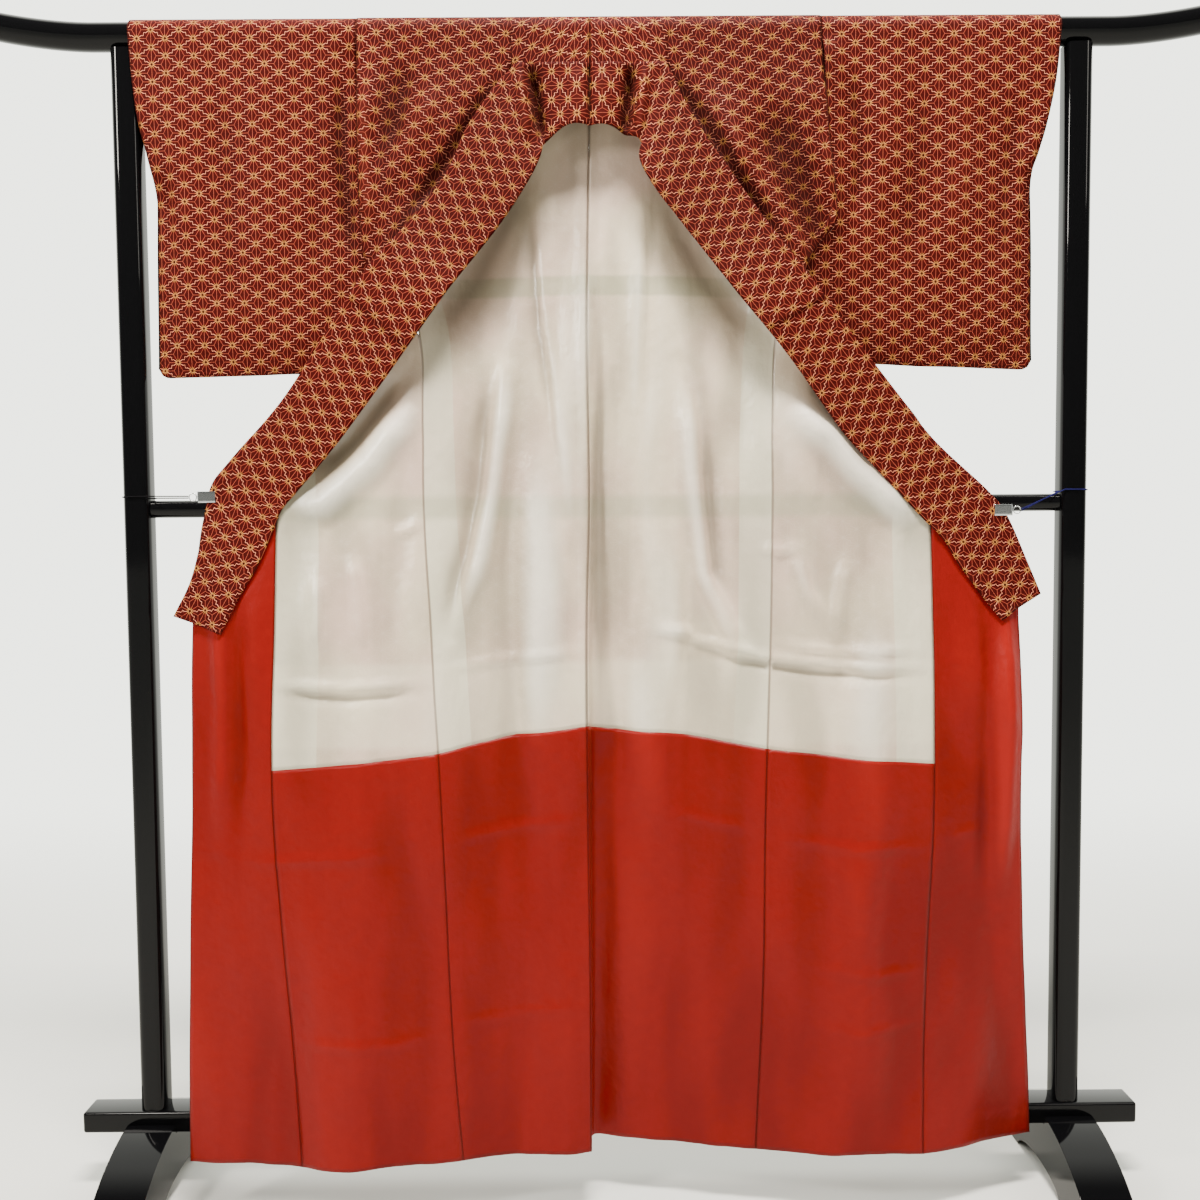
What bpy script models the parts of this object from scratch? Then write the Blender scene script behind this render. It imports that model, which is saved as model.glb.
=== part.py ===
"""A lined komon kimono hung open over the top rail of a lacquered kimono stand.

Metres, +Z up, the viewer looks along +Y. The origin is on the floor, midway between the two posts.
Left and right are the viewer's. The cloth's surface runs between its outer cloth and its lining, and each
tailored piece is a stretch of that surface with a wall on one side of it.
"""

from math import cos, pi, radians, sin, sqrt

import bmesh
import bpy
from mathutils import Matrix, Vector
from mathutils.bvhtree import BVHTree

SEAM = 0.0003
OUTER_CLOTH = 0.0012
LINING_CLOTH = 0.0010
COLLAR_CLOTH = 0.0024
OVER_COLLAR_CLOTH = 0.0010

# The stand.
POST_X = 0.6456
POST_WIDTH = 0.0369
RAIL_Z = 1.5963
RAIL_R = 0.0190
RAIL_HALF = 0.830
RAIL_STRAIGHT = 0.690
RAIL_LIFT = 0.017
RAIL_SPANS = 12
CROSS_RAIL_Z = 0.9577
CROSS_RAIL_R = 0.0120
PLANK_LENGTH = 1.485
PLANK_DEPTH = 0.0455
PLANK_LOW = 0.0820
PLANK_HIGH = 0.1116
FOOT_WIDTH = 0.068
FOOT_CREST = 0.0945
FOOT_HALF = 0.195
FOOT_RADIUS = 0.262
FOOT_RELIEF_HALF = 0.080
FOOT_RELIEF_RISE = 0.022

# The garment on the stand.
HEM_Z = 0.0800
DRAPE_R = 0.0209
NECK_Z = 1.5450
LINING_TOP_ROW = 6
SIDE_SEAM_TOP_ROW = 14
ARC_STEPS = 8
NECK_COLUMNS = 4
BACK_COLUMNS = 11
FRONT_COLUMNS = BACK_COLUMNS - NECK_COLUMNS
OKUMI_COLUMNS = 3

# Heights of the garment's cross rows, from the hem to the middle of the rail.
HEIGHTS = (
    HEM_Z, 0.180, 0.280, 0.370, 0.460, 0.550, 0.620, 0.700, 0.790, 0.880, 0.957, 1.010,
    1.060, 1.120, 1.190, 1.240, 1.290, 1.340, 1.390, 1.460, 1.505, NECK_Z, RAIL_Z,
)

# Each seam or fold line of a half, as rows of (height, across, depth).
LEFT_LINES = {
    "centre": (
        (0.080, -0.0277, -0.077), (0.280, -0.0265, -0.068), (0.550, -0.0280, -0.058),
        (0.800, -0.0275, -0.044), (0.957, -0.0230, -0.030), (1.190, -0.0240, -0.014),
        (1.460, -0.0190, 0.010), (1.5963, -0.0165, 0.0209),
    ),
    "pleat": (
        (0.080, -0.0600, -0.084), (0.280, -0.0680, -0.069), (0.550, -0.0720, -0.054),
        (0.800, -0.0760, -0.037), (0.957, -0.0760, -0.020), (1.190, -0.0820, -0.009),
        (1.460, -0.0730, 0.011), (1.5963, -0.06975, 0.0209),
    ),
    "back": (
        (0.080, -0.1065, -0.084), (0.280, -0.1150, -0.066), (0.550, -0.1220, -0.046),
        (0.800, -0.1280, -0.029), (0.957, -0.1330, -0.0165), (1.190, -0.1420, -0.004),
        (1.460, -0.1280, 0.012), (1.5963, -0.1230, 0.0209),
    ),
    "side": (
        (0.080, -0.1990, -0.095), (0.280, -0.2135, -0.085), (0.550, -0.2240, -0.070),
        (0.800, -0.2380, -0.050), (0.957, -0.2470, -0.030), (1.060, -0.2475, -0.023),
        (1.190, -0.2520, -0.017), (1.290, -0.2900, -0.005), (1.390, -0.3300, 0.006),
        (1.460, -0.3300, 0.012), (1.5963, -0.3300, 0.0209),
    ),
    "front_side": (
        (1.190, -0.2520, -0.017), (1.240, -0.2820, -0.021), (1.290, -0.3120, -0.023),
        (1.340, -0.3260, -0.023), (1.390, -0.3300, -0.0225), (1.460, -0.3300, -0.0215),
        (1.5963, -0.3300, -0.0209),
    ),
    "front": (
        (0.080, -0.3000, -0.117), (0.280, -0.3200, -0.103), (0.550, -0.3300, -0.080),
        (0.800, -0.3350, -0.055), (0.957, -0.3450, -0.033), (1.060, -0.3520, -0.032),
        (1.120, -0.3330, -0.031), (1.190, -0.3080, -0.035), (1.240, -0.2850, -0.040),
        (1.290, -0.2710, -0.035), (1.340, -0.2740, -0.033), (1.390, -0.2690, -0.031),
        (1.460, -0.2540, -0.027), (1.545, -0.2265, -0.0215), (1.5963, -0.2265, -0.0209),
    ),
    "okumi": (
        (0.080, -0.4120, -0.114), (0.280, -0.4280, -0.090), (0.550, -0.4490, -0.075),
        (0.800, -0.4475, -0.056), (0.957, -0.4470, -0.038), (1.060, -0.4480, -0.037),
        (1.120, -0.4215, -0.040),
    ),
    "edge": (
        (0.080, -0.5670, -0.085), (0.280, -0.5660, -0.072), (0.550, -0.5625, -0.060),
        (0.800, -0.5620, -0.045), (0.880, -0.5560, -0.040), (0.957, -0.5430, -0.034),
        (1.010, -0.5160, -0.035), (1.060, -0.4720, -0.036), (1.120, -0.4215, -0.040),
        (1.190, -0.3725, -0.044), (1.240, -0.3380, -0.050), (1.290, -0.3000, -0.052),
        (1.340, -0.2560, -0.042), (1.390, -0.2165, -0.036), (1.460, -0.1825, -0.031),
        (1.505, -0.1530, -0.026), (1.545, -0.1230, -0.0217), (1.5963, -0.1230, -0.0209),
    ),
}

RIGHT_LINES = {
    "centre": LEFT_LINES["centre"],
    "pleat": (
        (0.080, -0.0208, -0.028), (0.280, -0.0160, -0.026), (0.550, -0.0120, -0.026),
        (0.800, -0.0080, -0.024), (0.957, -0.0040, -0.0165), (1.190, 0.0080, -0.008),
        (1.460, 0.0300, 0.011), (1.5963, 0.03575, 0.0209),
    ),
    "back": (
        (0.080, 0.0610, -0.049), (0.280, 0.0700, -0.042), (0.550, 0.0780, -0.035),
        (0.800, 0.0850, -0.026), (0.957, 0.0900, -0.0165), (1.190, 0.0980, -0.004),
        (1.460, 0.0910, 0.012), (1.5963, 0.0880, 0.0209),
    ),
    "side": (
        (0.080, 0.1970, -0.079), (0.280, 0.2070, -0.072), (0.550, 0.2130, -0.060),
        (0.800, 0.2230, -0.045), (0.957, 0.2263, -0.030), (1.060, 0.2265, -0.023),
        (1.190, 0.2350, -0.017), (1.290, 0.2620, -0.005), (1.390, 0.2900, 0.006),
        (1.460, 0.2930, 0.012), (1.5963, 0.2940, 0.0209),
    ),
    "front_side": (
        (1.190, 0.2350, -0.017), (1.240, 0.2820, -0.021), (1.290, 0.3140, -0.024),
        (1.340, 0.3165, -0.0235), (1.390, 0.3120, -0.0225), (1.460, 0.3040, -0.0215),
        (1.5963, 0.2940, -0.0209),
    ),
    "front": (
        (0.080, 0.3236, -0.095), (0.280, 0.3250, -0.085), (0.550, 0.3300, -0.070),
        (0.800, 0.3320, -0.052), (0.957, 0.3350, -0.033), (1.060, 0.3300, -0.032),
        (1.120, 0.3030, -0.033), (1.190, 0.2700, -0.038), (1.240, 0.2640, -0.036),
        (1.290, 0.2720, -0.034), (1.340, 0.2640, -0.033), (1.390, 0.2440, -0.031),
        (1.460, 0.2170, -0.027), (1.545, 0.1915, -0.0215), (1.5963, 0.1910, -0.0209),
    ),
    "okumi": (
        (0.080, 0.4205, -0.0915), (0.280, 0.4262, -0.080), (0.550, 0.4393, -0.068),
        (0.800, 0.4400, -0.053), (0.957, 0.4405, -0.038), (1.010, 0.4405, -0.037),
        (1.060, 0.4300, -0.036), (1.120, 0.3820, -0.040),
    ),
    "edge": (
        (0.080, 0.5847, -0.036), (0.280, 0.5715, -0.045), (0.550, 0.5586, -0.050),
        (0.800, 0.5600, -0.043), (0.880, 0.5560, -0.038), (0.957, 0.5300, -0.034),
        (1.010, 0.4780, -0.035), (1.060, 0.4300, -0.036), (1.120, 0.3820, -0.040),
        (1.190, 0.3250, -0.047), (1.240, 0.2870, -0.051), (1.290, 0.2500, -0.048),
        (1.340, 0.2120, -0.041), (1.390, 0.1775, -0.036), (1.460, 0.1305, -0.031),
        (1.505, 0.1050, -0.026), (1.545, 0.0880, -0.0217), (1.5963, 0.0880, -0.0209),
    ),
}

# The fronts turn inside out behind the collar between these heights, in an eased fold.
TURN_HEIGHTS = (1.130, 1.400)
TURN_EASING = 4

# How many rows of each half the overlap panel reaches before it runs out under the collar.
OKUMI_TOP_ROW = {"left": 12, "right": 11}

# The cuff edge and the bottom seam of each sleeve: (height, across) and (across share, height).
CUFF_LINES = {
    "left": (
        (1.137, -0.6140), (1.350, -0.6095), (1.398, -0.6110), (1.439, -0.6180),
        (1.478, -0.6265), (1.536, -0.6328), (1.5963, -0.6362),
    ),
    "right": (
        (1.137, 0.5890), (1.366, 0.5845), (1.407, 0.5830), (1.431, 0.5900),
        (1.468, 0.6006), (1.528, 0.6120), (1.5963, 0.6175),
    ),
}
SLEEVE_BOTTOM = {"left": (1.144, 1.137), "right": (1.153, 1.140)}
SLEEVE_CORNER_R = 0.016
SLEEVE_COLUMNS = 10
SLEEVE_WALL_ROWS = 9
SLEEVE_MOUTH = 0.0009
CUFF_OPENING_LOW = 1.400

# The collar, from its left end over the back of the neck to its right end. Each row has the sewn edge's
# across and height and the free edge's across and height.
COLLAR = (
    (-0.5858, 0.8121, -0.5185, 0.7883),
    (-0.5642, 0.8554, -0.4990, 0.8300),
    (-0.5523, 0.8974, -0.4700, 0.8800),
    (-0.5450, 0.9400, -0.4490, 0.9290),
    (-0.5340, 0.9870, -0.4370, 0.9560),
    (-0.5072, 1.0212, -0.4170, 0.9790),
    (-0.4339, 1.1023, -0.3610, 1.0430),
    (-0.3730, 1.1900, -0.2990, 1.1220),
    (-0.3122, 1.2768, -0.2330, 1.2090),
    (-0.2727, 1.3200, -0.1990, 1.2560),
    (-0.2141, 1.3932, -0.1390, 1.3320),
    (-0.1825, 1.4597, -0.1000, 1.3910),
    (-0.1540, 1.5038, -0.0840, 1.4250),
    (-0.1230, 1.5399, -0.0815, 1.4400),
    (-0.0949, 1.5444, -0.0700, 1.4510),
    (-0.0600, 1.5448, -0.0469, 1.4673),
    (-0.0167, 1.5448, -0.0175, 1.4671),
    (0.0280, 1.5448, 0.0090, 1.4660),
    (0.0600, 1.5444, 0.0370, 1.4540),
    (0.0881, 1.5412, 0.0510, 1.4430),
    (0.1066, 1.5021, 0.0490, 1.4180),
    (0.1370, 1.4485, 0.0684, 1.3807),
    (0.1716, 1.3985, 0.0960, 1.3435),
    (0.2089, 1.3444, 0.1330, 1.2950),
    (0.2626, 1.2728, 0.1860, 1.2260),
    (0.3273, 1.1874, 0.2500, 1.1480),
    (0.4005, 1.0961, 0.3190, 1.0540),
    (0.4455, 1.0407, 0.3680, 1.0010),
    (0.5194, 0.9714, 0.4250, 0.9400),
    (0.5450, 0.9380, 0.4560, 0.9080),
    (0.5721, 0.8747, 0.4790, 0.8690),
    (0.5890, 0.8330, 0.5320, 0.7980),
)
COLLAR_COLUMNS = 4
COLLAR_STEPS = 2
COLLAR_LIFT = 0.0048
OVER_COLLAR_FIRST = 15
OVER_COLLAR_LAST = 49

CLIP_HEIGHT = 0.015
CLIP_REACH = 0.020
CLIP_PLATE = 0.0012
RING_R = 0.0050
RING_WIRE = 0.0007
CORD_R = 0.0008
CORD_COLOURS = {"left": (0.01, 0.01, 0.012), "right": (0.03, 0.02, 0.12)}
CLIPS = {"left": (-0.5440, 0.9730, -1), "right": (0.5425, 0.9470, 1)}
CORD_LOOP_HIGH = 0.9752
CORD_LOOP_DROP = 0.0024


def smooth_curve(rows, at):
    """The values of a table at one place, along a smooth curve through its rows. Each row starts with its place."""
    place = min(max(at, rows[0][0]), rows[-1][0])
    k = max(i for i in range(len(rows) - 1) if rows[i][0] <= place)
    low, high = rows[k], rows[k + 1]
    before, after = rows[max(k - 1, 0)], rows[min(k + 2, len(rows) - 1)]
    span = high[0] - low[0]
    t = (place - low[0]) / span
    values = []
    for c in range(1, len(low)):
        slope_low = (high[c] - before[c]) / (high[0] - before[0])
        slope_high = (after[c] - low[c]) / (after[0] - low[0])
        values.append(
            low[c] * (2 * t**3 - 3 * t**2 + 1)
            + slope_low * span * (t**3 - 2 * t**2 + t)
            + high[c] * (3 * t**2 - 2 * t**3)
            + slope_high * span * (t**3 - t**2)
        )
    return values


def ease(t):
    """0 before 0, 1 after 1, and smooth between them."""
    t = min(max(t, 0.0), 1.0)
    return t * t * (3 - 2 * t)


def material(name, colour, roughness, metallic=0.0):
    """A plain Principled material."""
    found = bpy.data.materials.new(name)
    found.use_nodes = True
    shader = found.node_tree.nodes["Principled BSDF"]
    shader.inputs["Base Color"].default_value = (*colour, 1.0)
    shader.inputs["Roughness"].default_value = roughness
    shader.inputs["Metallic"].default_value = metallic
    return found


def add_object(name, bm, finish, sharp_degrees=40):
    """A named object with the mesh and its own material."""
    mesh = bpy.data.meshes.new(name)
    bmesh.ops.recalc_face_normals(bm, faces=bm.faces)
    bm.to_mesh(mesh)
    bm.free()
    mesh.shade_smooth()
    mesh.set_sharp_from_angle(angle=radians(sharp_degrees))
    mesh.materials.append(finish)
    obj = bpy.data.objects.new(name, mesh)
    bpy.context.scene.collection.objects.link(obj)
    return obj


class Cloth:
    """A surface of triangles that each belong to a named panel. The faces point out of the garment."""

    def __init__(self):
        self.bm = bmesh.new()
        self.panels = {}

    def add(self, panel, rows, flip):
        """Adds a grid of points, given as rows of equal length, to a panel."""
        verts = [[self.bm.verts.new(p) for p in row] for row in rows]
        for low, high in zip(verts, verts[1:]):
            for k in range(len(low) - 1):
                for corners in ([low[k], low[k + 1], high[k + 1]], [low[k], high[k + 1], high[k]]):
                    face = self.bm.faces.new(corners[::-1] if flip else corners)
                    self.panels.setdefault(panel, []).append(face)

    def sew(self):
        """Joins the panels where their points meet, so that neighbours share one edge."""
        bmesh.ops.remove_doubles(self.bm, verts=self.bm.verts, dist=SEAM / 10)
        self.bm.normal_update()

    def relax(self, panels, low, high, times):
        """Eases the folds of some panels between two heights. Their seams stay where they are."""
        faces = [f for panel in panels for f in self.panels[panel]]
        chosen = set(faces)
        inner = [
            v for v in {v for f in faces for v in f.verts}
            if low < v.co.z < high and all(f in chosen for f in v.link_faces) and not v.is_boundary
        ]
        for _ in range(times):
            bmesh.ops.smooth_vert(
                self.bm, verts=inner, factor=0.5, use_axis_x=True, use_axis_y=True, use_axis_z=True
            )
        self.bm.normal_update()

    def piece(self, name, panels, inner, outer, finish):
        """A wall over some panels, from inner to outer along the surface's normal, cut back at its seams."""
        faces = [f for panel in panels for f in self.panels[panel]]
        chosen = set(faces)
        bm = bmesh.new()
        walls = ([], [])
        place = {}
        for vert in {v for f in faces for v in f.verts}:
            own = [f for f in vert.link_faces if f in chosen]
            at = vert.co.copy()
            on_rim = any(sum(f in chosen for f in e.link_faces) == 1 for e in vert.link_edges)
            if on_rim:
                middle = sum((f.calc_center_median() for f in own), Vector()) / len(own)
                at += (middle - at).normalized() * SEAM * 0.75
            place[vert] = (
                bm.verts.new(at + vert.normal * inner),
                bm.verts.new(at + vert.normal * outer),
            )
        for face in faces:
            bm.faces.new([place[v][1] for v in face.verts])
            bm.faces.new([place[v][0] for v in reversed(face.verts)])
            for edge in face.edges:
                if sum(f in chosen for f in edge.link_faces) == 1:
                    a, b = edge.verts
                    bm.faces.new([place[a][0], place[b][0], place[b][1], place[a][1]])
        return add_object(name, bm, finish)


def across_columns(keys, columns):
    """Points at whole columns 0 to columns, on a smooth curve through keys of (column, point)."""
    rows = [(column, *point) for column, point in keys]
    return [Vector(smooth_curve(rows, k)) for k in range(columns + 1)]


def line_point(lines, name, height, shown_height):
    """The point of a seam line at a height, written at the height where the row is shown."""
    x, y = smooth_curve(lines[name], height)
    return (x, y, shown_height)


def row_height(lines, row, column_share):
    """The height of a row's point. The row where white lining meets red rises towards the centre seam."""
    if row != LINING_TOP_ROW:
        return HEIGHTS[row]
    return 0.606 + 0.053 * (1 - column_share) ** 1.2


def back_row(lines, row):
    """The back's points of one row, from the centre seam to the side seam."""
    height = HEIGHTS[row]
    keys = [
        (0, line_point(lines, "centre", height, height)),
        (2, line_point(lines, "pleat", height, height)),
        (NECK_COLUMNS, line_point(lines, "back", height, height)),
        (BACK_COLUMNS, line_point(lines, "side", height, height)),
    ]
    points = across_columns(keys, BACK_COLUMNS)
    for k, point in enumerate(points):
        point.z = row_height(lines, row, 0.55 * k / BACK_COLUMNS)
    return points


def front_row(lines, row):
    """The front's points of one row, from the side seam or armhole to the overlap seam or collar."""
    height = HEIGHTS[row]
    side = "side" if row <= SIDE_SEAM_TOP_ROW else "front_side"
    last = "okumi" if height <= lines["okumi"][-1][0] else "edge"
    keys = [
        (0, line_point(lines, side, height, height)),
        (FRONT_COLUMNS / 2, line_point(lines, "front", height, height)),
        (FRONT_COLUMNS, line_point(lines, last, height, height)),
    ]
    points = across_columns(keys, FRONT_COLUMNS)
    for k, point in enumerate(points):
        point.z = row_height(lines, row, 0.55 + 0.45 * k / FRONT_COLUMNS)
    return points


def okumi_row(lines, row):
    """The overlap panel's points of one row, from its seam to the garment's front edge."""
    height = HEIGHTS[row]
    keys = [
        (0, line_point(lines, "okumi", height, height)),
        (OKUMI_COLUMNS, line_point(lines, "edge", height, height)),
    ]
    points = across_columns(keys, OKUMI_COLUMNS)
    for point in points:
        point.z = row_height(lines, row, 1.0)
    return points


def rail_arc(points, steps, radius):
    """Rows that carry a top row of points from behind the rail over it to its front."""
    rows = []
    for k in range(steps + 1):
        angle = pi * k / steps
        rows.append([Vector((p.x, radius * cos(angle), RAIL_Z + radius * sin(angle))) for p in points])
    return rows


def lay_half(cloth, side, lines, flip):
    """Lays one half of the body: back, shoulder, front and overlap panel."""
    top = len(HEIGHTS) - 1
    backs = [back_row(lines, row) for row in range(top + 1)]
    cloth.add(f"back_low_{side}", backs[: LINING_TOP_ROW + 1], flip)
    cloth.add(f"back_high_{side}", backs[LINING_TOP_ROW:], flip)
    arc = rail_arc(backs[top], ARC_STEPS, DRAPE_R)
    cloth.add(f"back_high_{side}", arc, flip)
    neck = [point.copy() for point in arc[-1][: NECK_COLUMNS + 1]]
    for point in neck:
        point.z = NECK_Z
    cloth.add(f"back_high_{side}", [arc[-1][: NECK_COLUMNS + 1], neck], flip)
    fronts = [front_row(lines, row) for row in range(top + 1)]
    fronts[top] = list(reversed(arc[-1][NECK_COLUMNS:]))
    cloth.add(f"front_low_{side}", fronts[: LINING_TOP_ROW + 1], flip)
    cloth.add(f"front_high_{side}", fronts[LINING_TOP_ROW:], flip)
    okumi = [okumi_row(lines, row) for row in range(OKUMI_TOP_ROW[side] + 1)]
    cloth.add(f"okumi_{side}", okumi, flip)


def sleeve_point(side, lines, column, height_share, front):
    """A point of a sleeve's front or back wall. height_share runs from the bottom seam to the rail."""
    across = column / SLEEVE_COLUMNS
    inner_low, outer_low = SLEEVE_BOTTOM[side]
    low = inner_low + (outer_low - inner_low) * across
    height = low + (RAIL_Z - low) * height_share
    armhole = smooth_curve(lines["front_side" if front else "side"], max(height, 1.39))[0]
    cuff = smooth_curve(CUFF_LINES[side], height)[0]
    outward = -1 if side == "left" else 1
    x = armhole + outward * SEAM * 0.25 + (cuff - armhole) * across
    corner = SLEEVE_CORNER_R - abs(cuff - x)
    if corner > 0 and height < low + SLEEVE_CORNER_R:
        rise = SLEEVE_CORNER_R - sqrt(SLEEVE_CORNER_R**2 - corner**2)
        height += rise * (1 - (height - low) / SLEEVE_CORNER_R)
    half = SLEEVE_MOUTH + (DRAPE_R - SLEEVE_MOUTH) * min(1.0, 0.18 * ease(height_share * 9) + 0.82 * height_share)
    if height_share == 0:
        half = SLEEVE_MOUTH
    pinch = ease((across - 0.86) / 0.14) * ease((CUFF_OPENING_LOW + 0.03 - height) / 0.06)
    half = half * (1 - pinch) + SLEEVE_MOUTH * pinch
    return Vector((x, -half if front else half, height))


def lay_sleeve(cloth, side, lines, flip):
    """Lays one sleeve: up its front, over the rail and down its back to the bottom seam."""
    rows = []
    for k in range(SLEEVE_WALL_ROWS + 1):
        share = (k / SLEEVE_WALL_ROWS) ** 1.15
        rows.append([sleeve_point(side, lines, c, share, False) for c in range(SLEEVE_COLUMNS + 1)])
    rows += rail_arc(rows[-1], ARC_STEPS, DRAPE_R)[1:-1]
    for k in range(SLEEVE_WALL_ROWS, -1, -1):
        share = (k / SLEEVE_WALL_ROWS) ** 1.15
        rows.append([sleeve_point(side, lines, c, share, True) for c in range(SLEEVE_COLUMNS + 1)])
    cloth.add(f"sleeve_{side}", rows, flip)


def collar_rows(body):
    """The collar's points, pushed forward wherever the cloth behind it stands forward."""
    behind = BVHTree.FromBMesh(body.bm)
    table = [(k, *row) for k, row in enumerate(COLLAR)]
    rows = []
    for step in range((len(COLLAR) - 1) * COLLAR_STEPS + 1):
        sewn_x, sewn_z, free_x, free_z = smooth_curve(table, step / COLLAR_STEPS)
        lines = LEFT_LINES if sewn_x < LEFT_LINES["centre"][-1][1] else RIGHT_LINES
        edge_depth = smooth_curve(lines["edge"], sewn_z)[1]
        at_neck = ease((sewn_z - 1.538) / 0.006)
        row = []
        for column in range(COLLAR_COLUMNS + 1):
            share = column / COLLAR_COLUMNS
            x = sewn_x + (free_x - sewn_x) * share
            z = sewn_z + (free_z - sewn_z) * share
            depth = edge_depth - COLLAR_LIFT * (1 - at_neck) - 0.003 * share
            _, _, _, way = behind.ray_cast(Vector((x, -1.0, z)), Vector((0, 1, 0)))
            if way is not None:
                depth = min(depth, way - 1.0 - COLLAR_LIFT)
            row.append(Vector((x, depth, z)))
        rows.append(row)
    return rows


def turned_tube(name, path, radius, sides, finish):
    """A round bar along a path of points that lie in one upright plane."""
    bm = bmesh.new()
    rings = []
    for k, point in enumerate(path):
        along = (path[min(k + 1, len(path) - 1)] - path[max(k - 1, 0)]).normalized()
        up = Vector((0, 1, 0)).cross(along).normalized()
        ring = []
        for s in range(sides):
            angle = 2 * pi * s / sides
            ring.append(bm.verts.new(point + radius[k] * (Vector((0, 1, 0)) * cos(angle) + up * sin(angle))))
        rings.append(ring)
    for low, high in zip(rings, rings[1:]):
        for s in range(sides):
            bm.faces.new([low[s], low[(s + 1) % sides], high[(s + 1) % sides], high[s]])
    bm.faces.new(rings[0])
    bm.faces.new(rings[-1])
    return add_object(name, bm, finish)


def bevelled_box(name, low, high, bevel, segments, finish, upright_only=False, lines=()):
    """A box between two corners, with its edges rounded and a scribed line round it at each height in lines."""
    bm = bmesh.new()
    size = [b - a for a, b in zip(low, high)]
    middle = [(a + b) / 2 for a, b in zip(low, high)]
    bmesh.ops.create_cube(bm, size=1.0, matrix=Matrix.Translation(middle) @ Matrix.Diagonal((*size, 1.0)))
    edges = [
        e for e in bm.edges
        if not upright_only or abs(e.verts[0].co.z - e.verts[1].co.z) > bevel
    ]
    bmesh.ops.bevel(bm, geom=edges, offset=bevel, segments=segments, affect="EDGES", profile=0.5)
    for height in lines:
        everything = bm.verts[:] + bm.edges[:] + bm.faces[:]
        bmesh.ops.bisect_plane(bm, geom=everything, plane_co=(0, 0, height), plane_no=(0, 0, 1))
    return add_object(name, bm, finish)


def make_stand():
    """The rail, posts, cross rail, base plank and feet."""
    lacquer = material("black_lacquer", (0.006, 0.006, 0.007), 0.12)
    path, radii = [], []
    stations = [RAIL_STRAIGHT + (RAIL_HALF - RAIL_STRAIGHT) * k / 6 for k in range(7)]
    level = [RAIL_STRAIGHT * (2 * k / RAIL_SPANS - 1) for k in range(1, RAIL_SPANS)]
    spread = [-x for x in reversed(stations)] + level + stations
    for x in spread:
        bend = max(0.0, (abs(x) - RAIL_STRAIGHT) / (RAIL_HALF - RAIL_STRAIGHT))
        path.append(Vector((x, 0, RAIL_Z + RAIL_LIFT * bend**1.7)))
        radii.append(RAIL_R)
    for end, nearest, outward in ((0, 0, -1), (len(path), -1, 1)):
        cap = path[nearest] + Vector((outward * 0.006, 0, 0.0012))
        path.insert(end, cap)
        radii.insert(end, RAIL_R * 0.72)
    turned_tube("rail", path, radii, 24, lacquer)
    half = POST_WIDTH / 2
    for side, x in (("left", -POST_X), ("right", POST_X)):
        bevelled_box(
            f"post_{side}",
            (x - half, -half, PLANK_HIGH + SEAM),
            (x + half, half, RAIL_Z - RAIL_R - SEAM),
            0.0115, 3, lacquer, upright_only=True, lines=(CROSS_RAIL_Z, CORD_LOOP_HIGH),
        )
    reach = POST_X - half - SEAM
    bar = [Vector((x, 0, CROSS_RAIL_Z)) for x in (-reach, reach)]
    turned_tube("cross_rail", bar, [CROSS_RAIL_R] * 2, 20, lacquer)
    bevelled_box(
        "base_plank",
        (-PLANK_LENGTH / 2, -PLANK_DEPTH / 2, PLANK_LOW),
        (PLANK_LENGTH / 2, PLANK_DEPTH / 2, PLANK_HIGH),
        0.0025, 2, lacquer,
    )
    for side, x in (("left", -POST_X), ("right", POST_X)):
        make_foot(f"foot_{side}", x, lacquer)


def foot_outline():
    """The foot's side view as (depth, height), notched for the base plank and relieved beneath."""
    notch = PLANK_DEPTH / 2 + SEAM
    outline = []
    for k in range(13):
        y = notch + (FOOT_HALF - notch) * k / 12
        outline.append((y, FOOT_CREST - (FOOT_RADIUS - sqrt(FOOT_RADIUS**2 - y * y))))
    outline.append((FOOT_HALF, 0.0))
    for k in range(7):
        angle = pi / 2 * k / 6
        outline.append((FOOT_RELIEF_HALF * cos(angle), FOOT_RELIEF_RISE * sin(angle)))
    front = [(-y, z) for y, z in reversed(outline[:-1])]
    return outline + front + [(-notch, PLANK_LOW - SEAM), (notch, PLANK_LOW - SEAM)]


def make_foot(name, x, finish):
    """One arched foot across the base plank."""
    bm = bmesh.new()
    profile = [bm.verts.new((x - FOOT_WIDTH / 2, y, z)) for y, z in foot_outline()]
    face = bm.faces.new(profile)
    pushed = bmesh.ops.extrude_face_region(bm, geom=[face])
    moved = [g for g in pushed["geom"] if isinstance(g, bmesh.types.BMVert)]
    bmesh.ops.translate(bm, verts=moved, vec=(FOOT_WIDTH, 0, 0))
    add_object(name, bm, finish, sharp_degrees=30)


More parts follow.
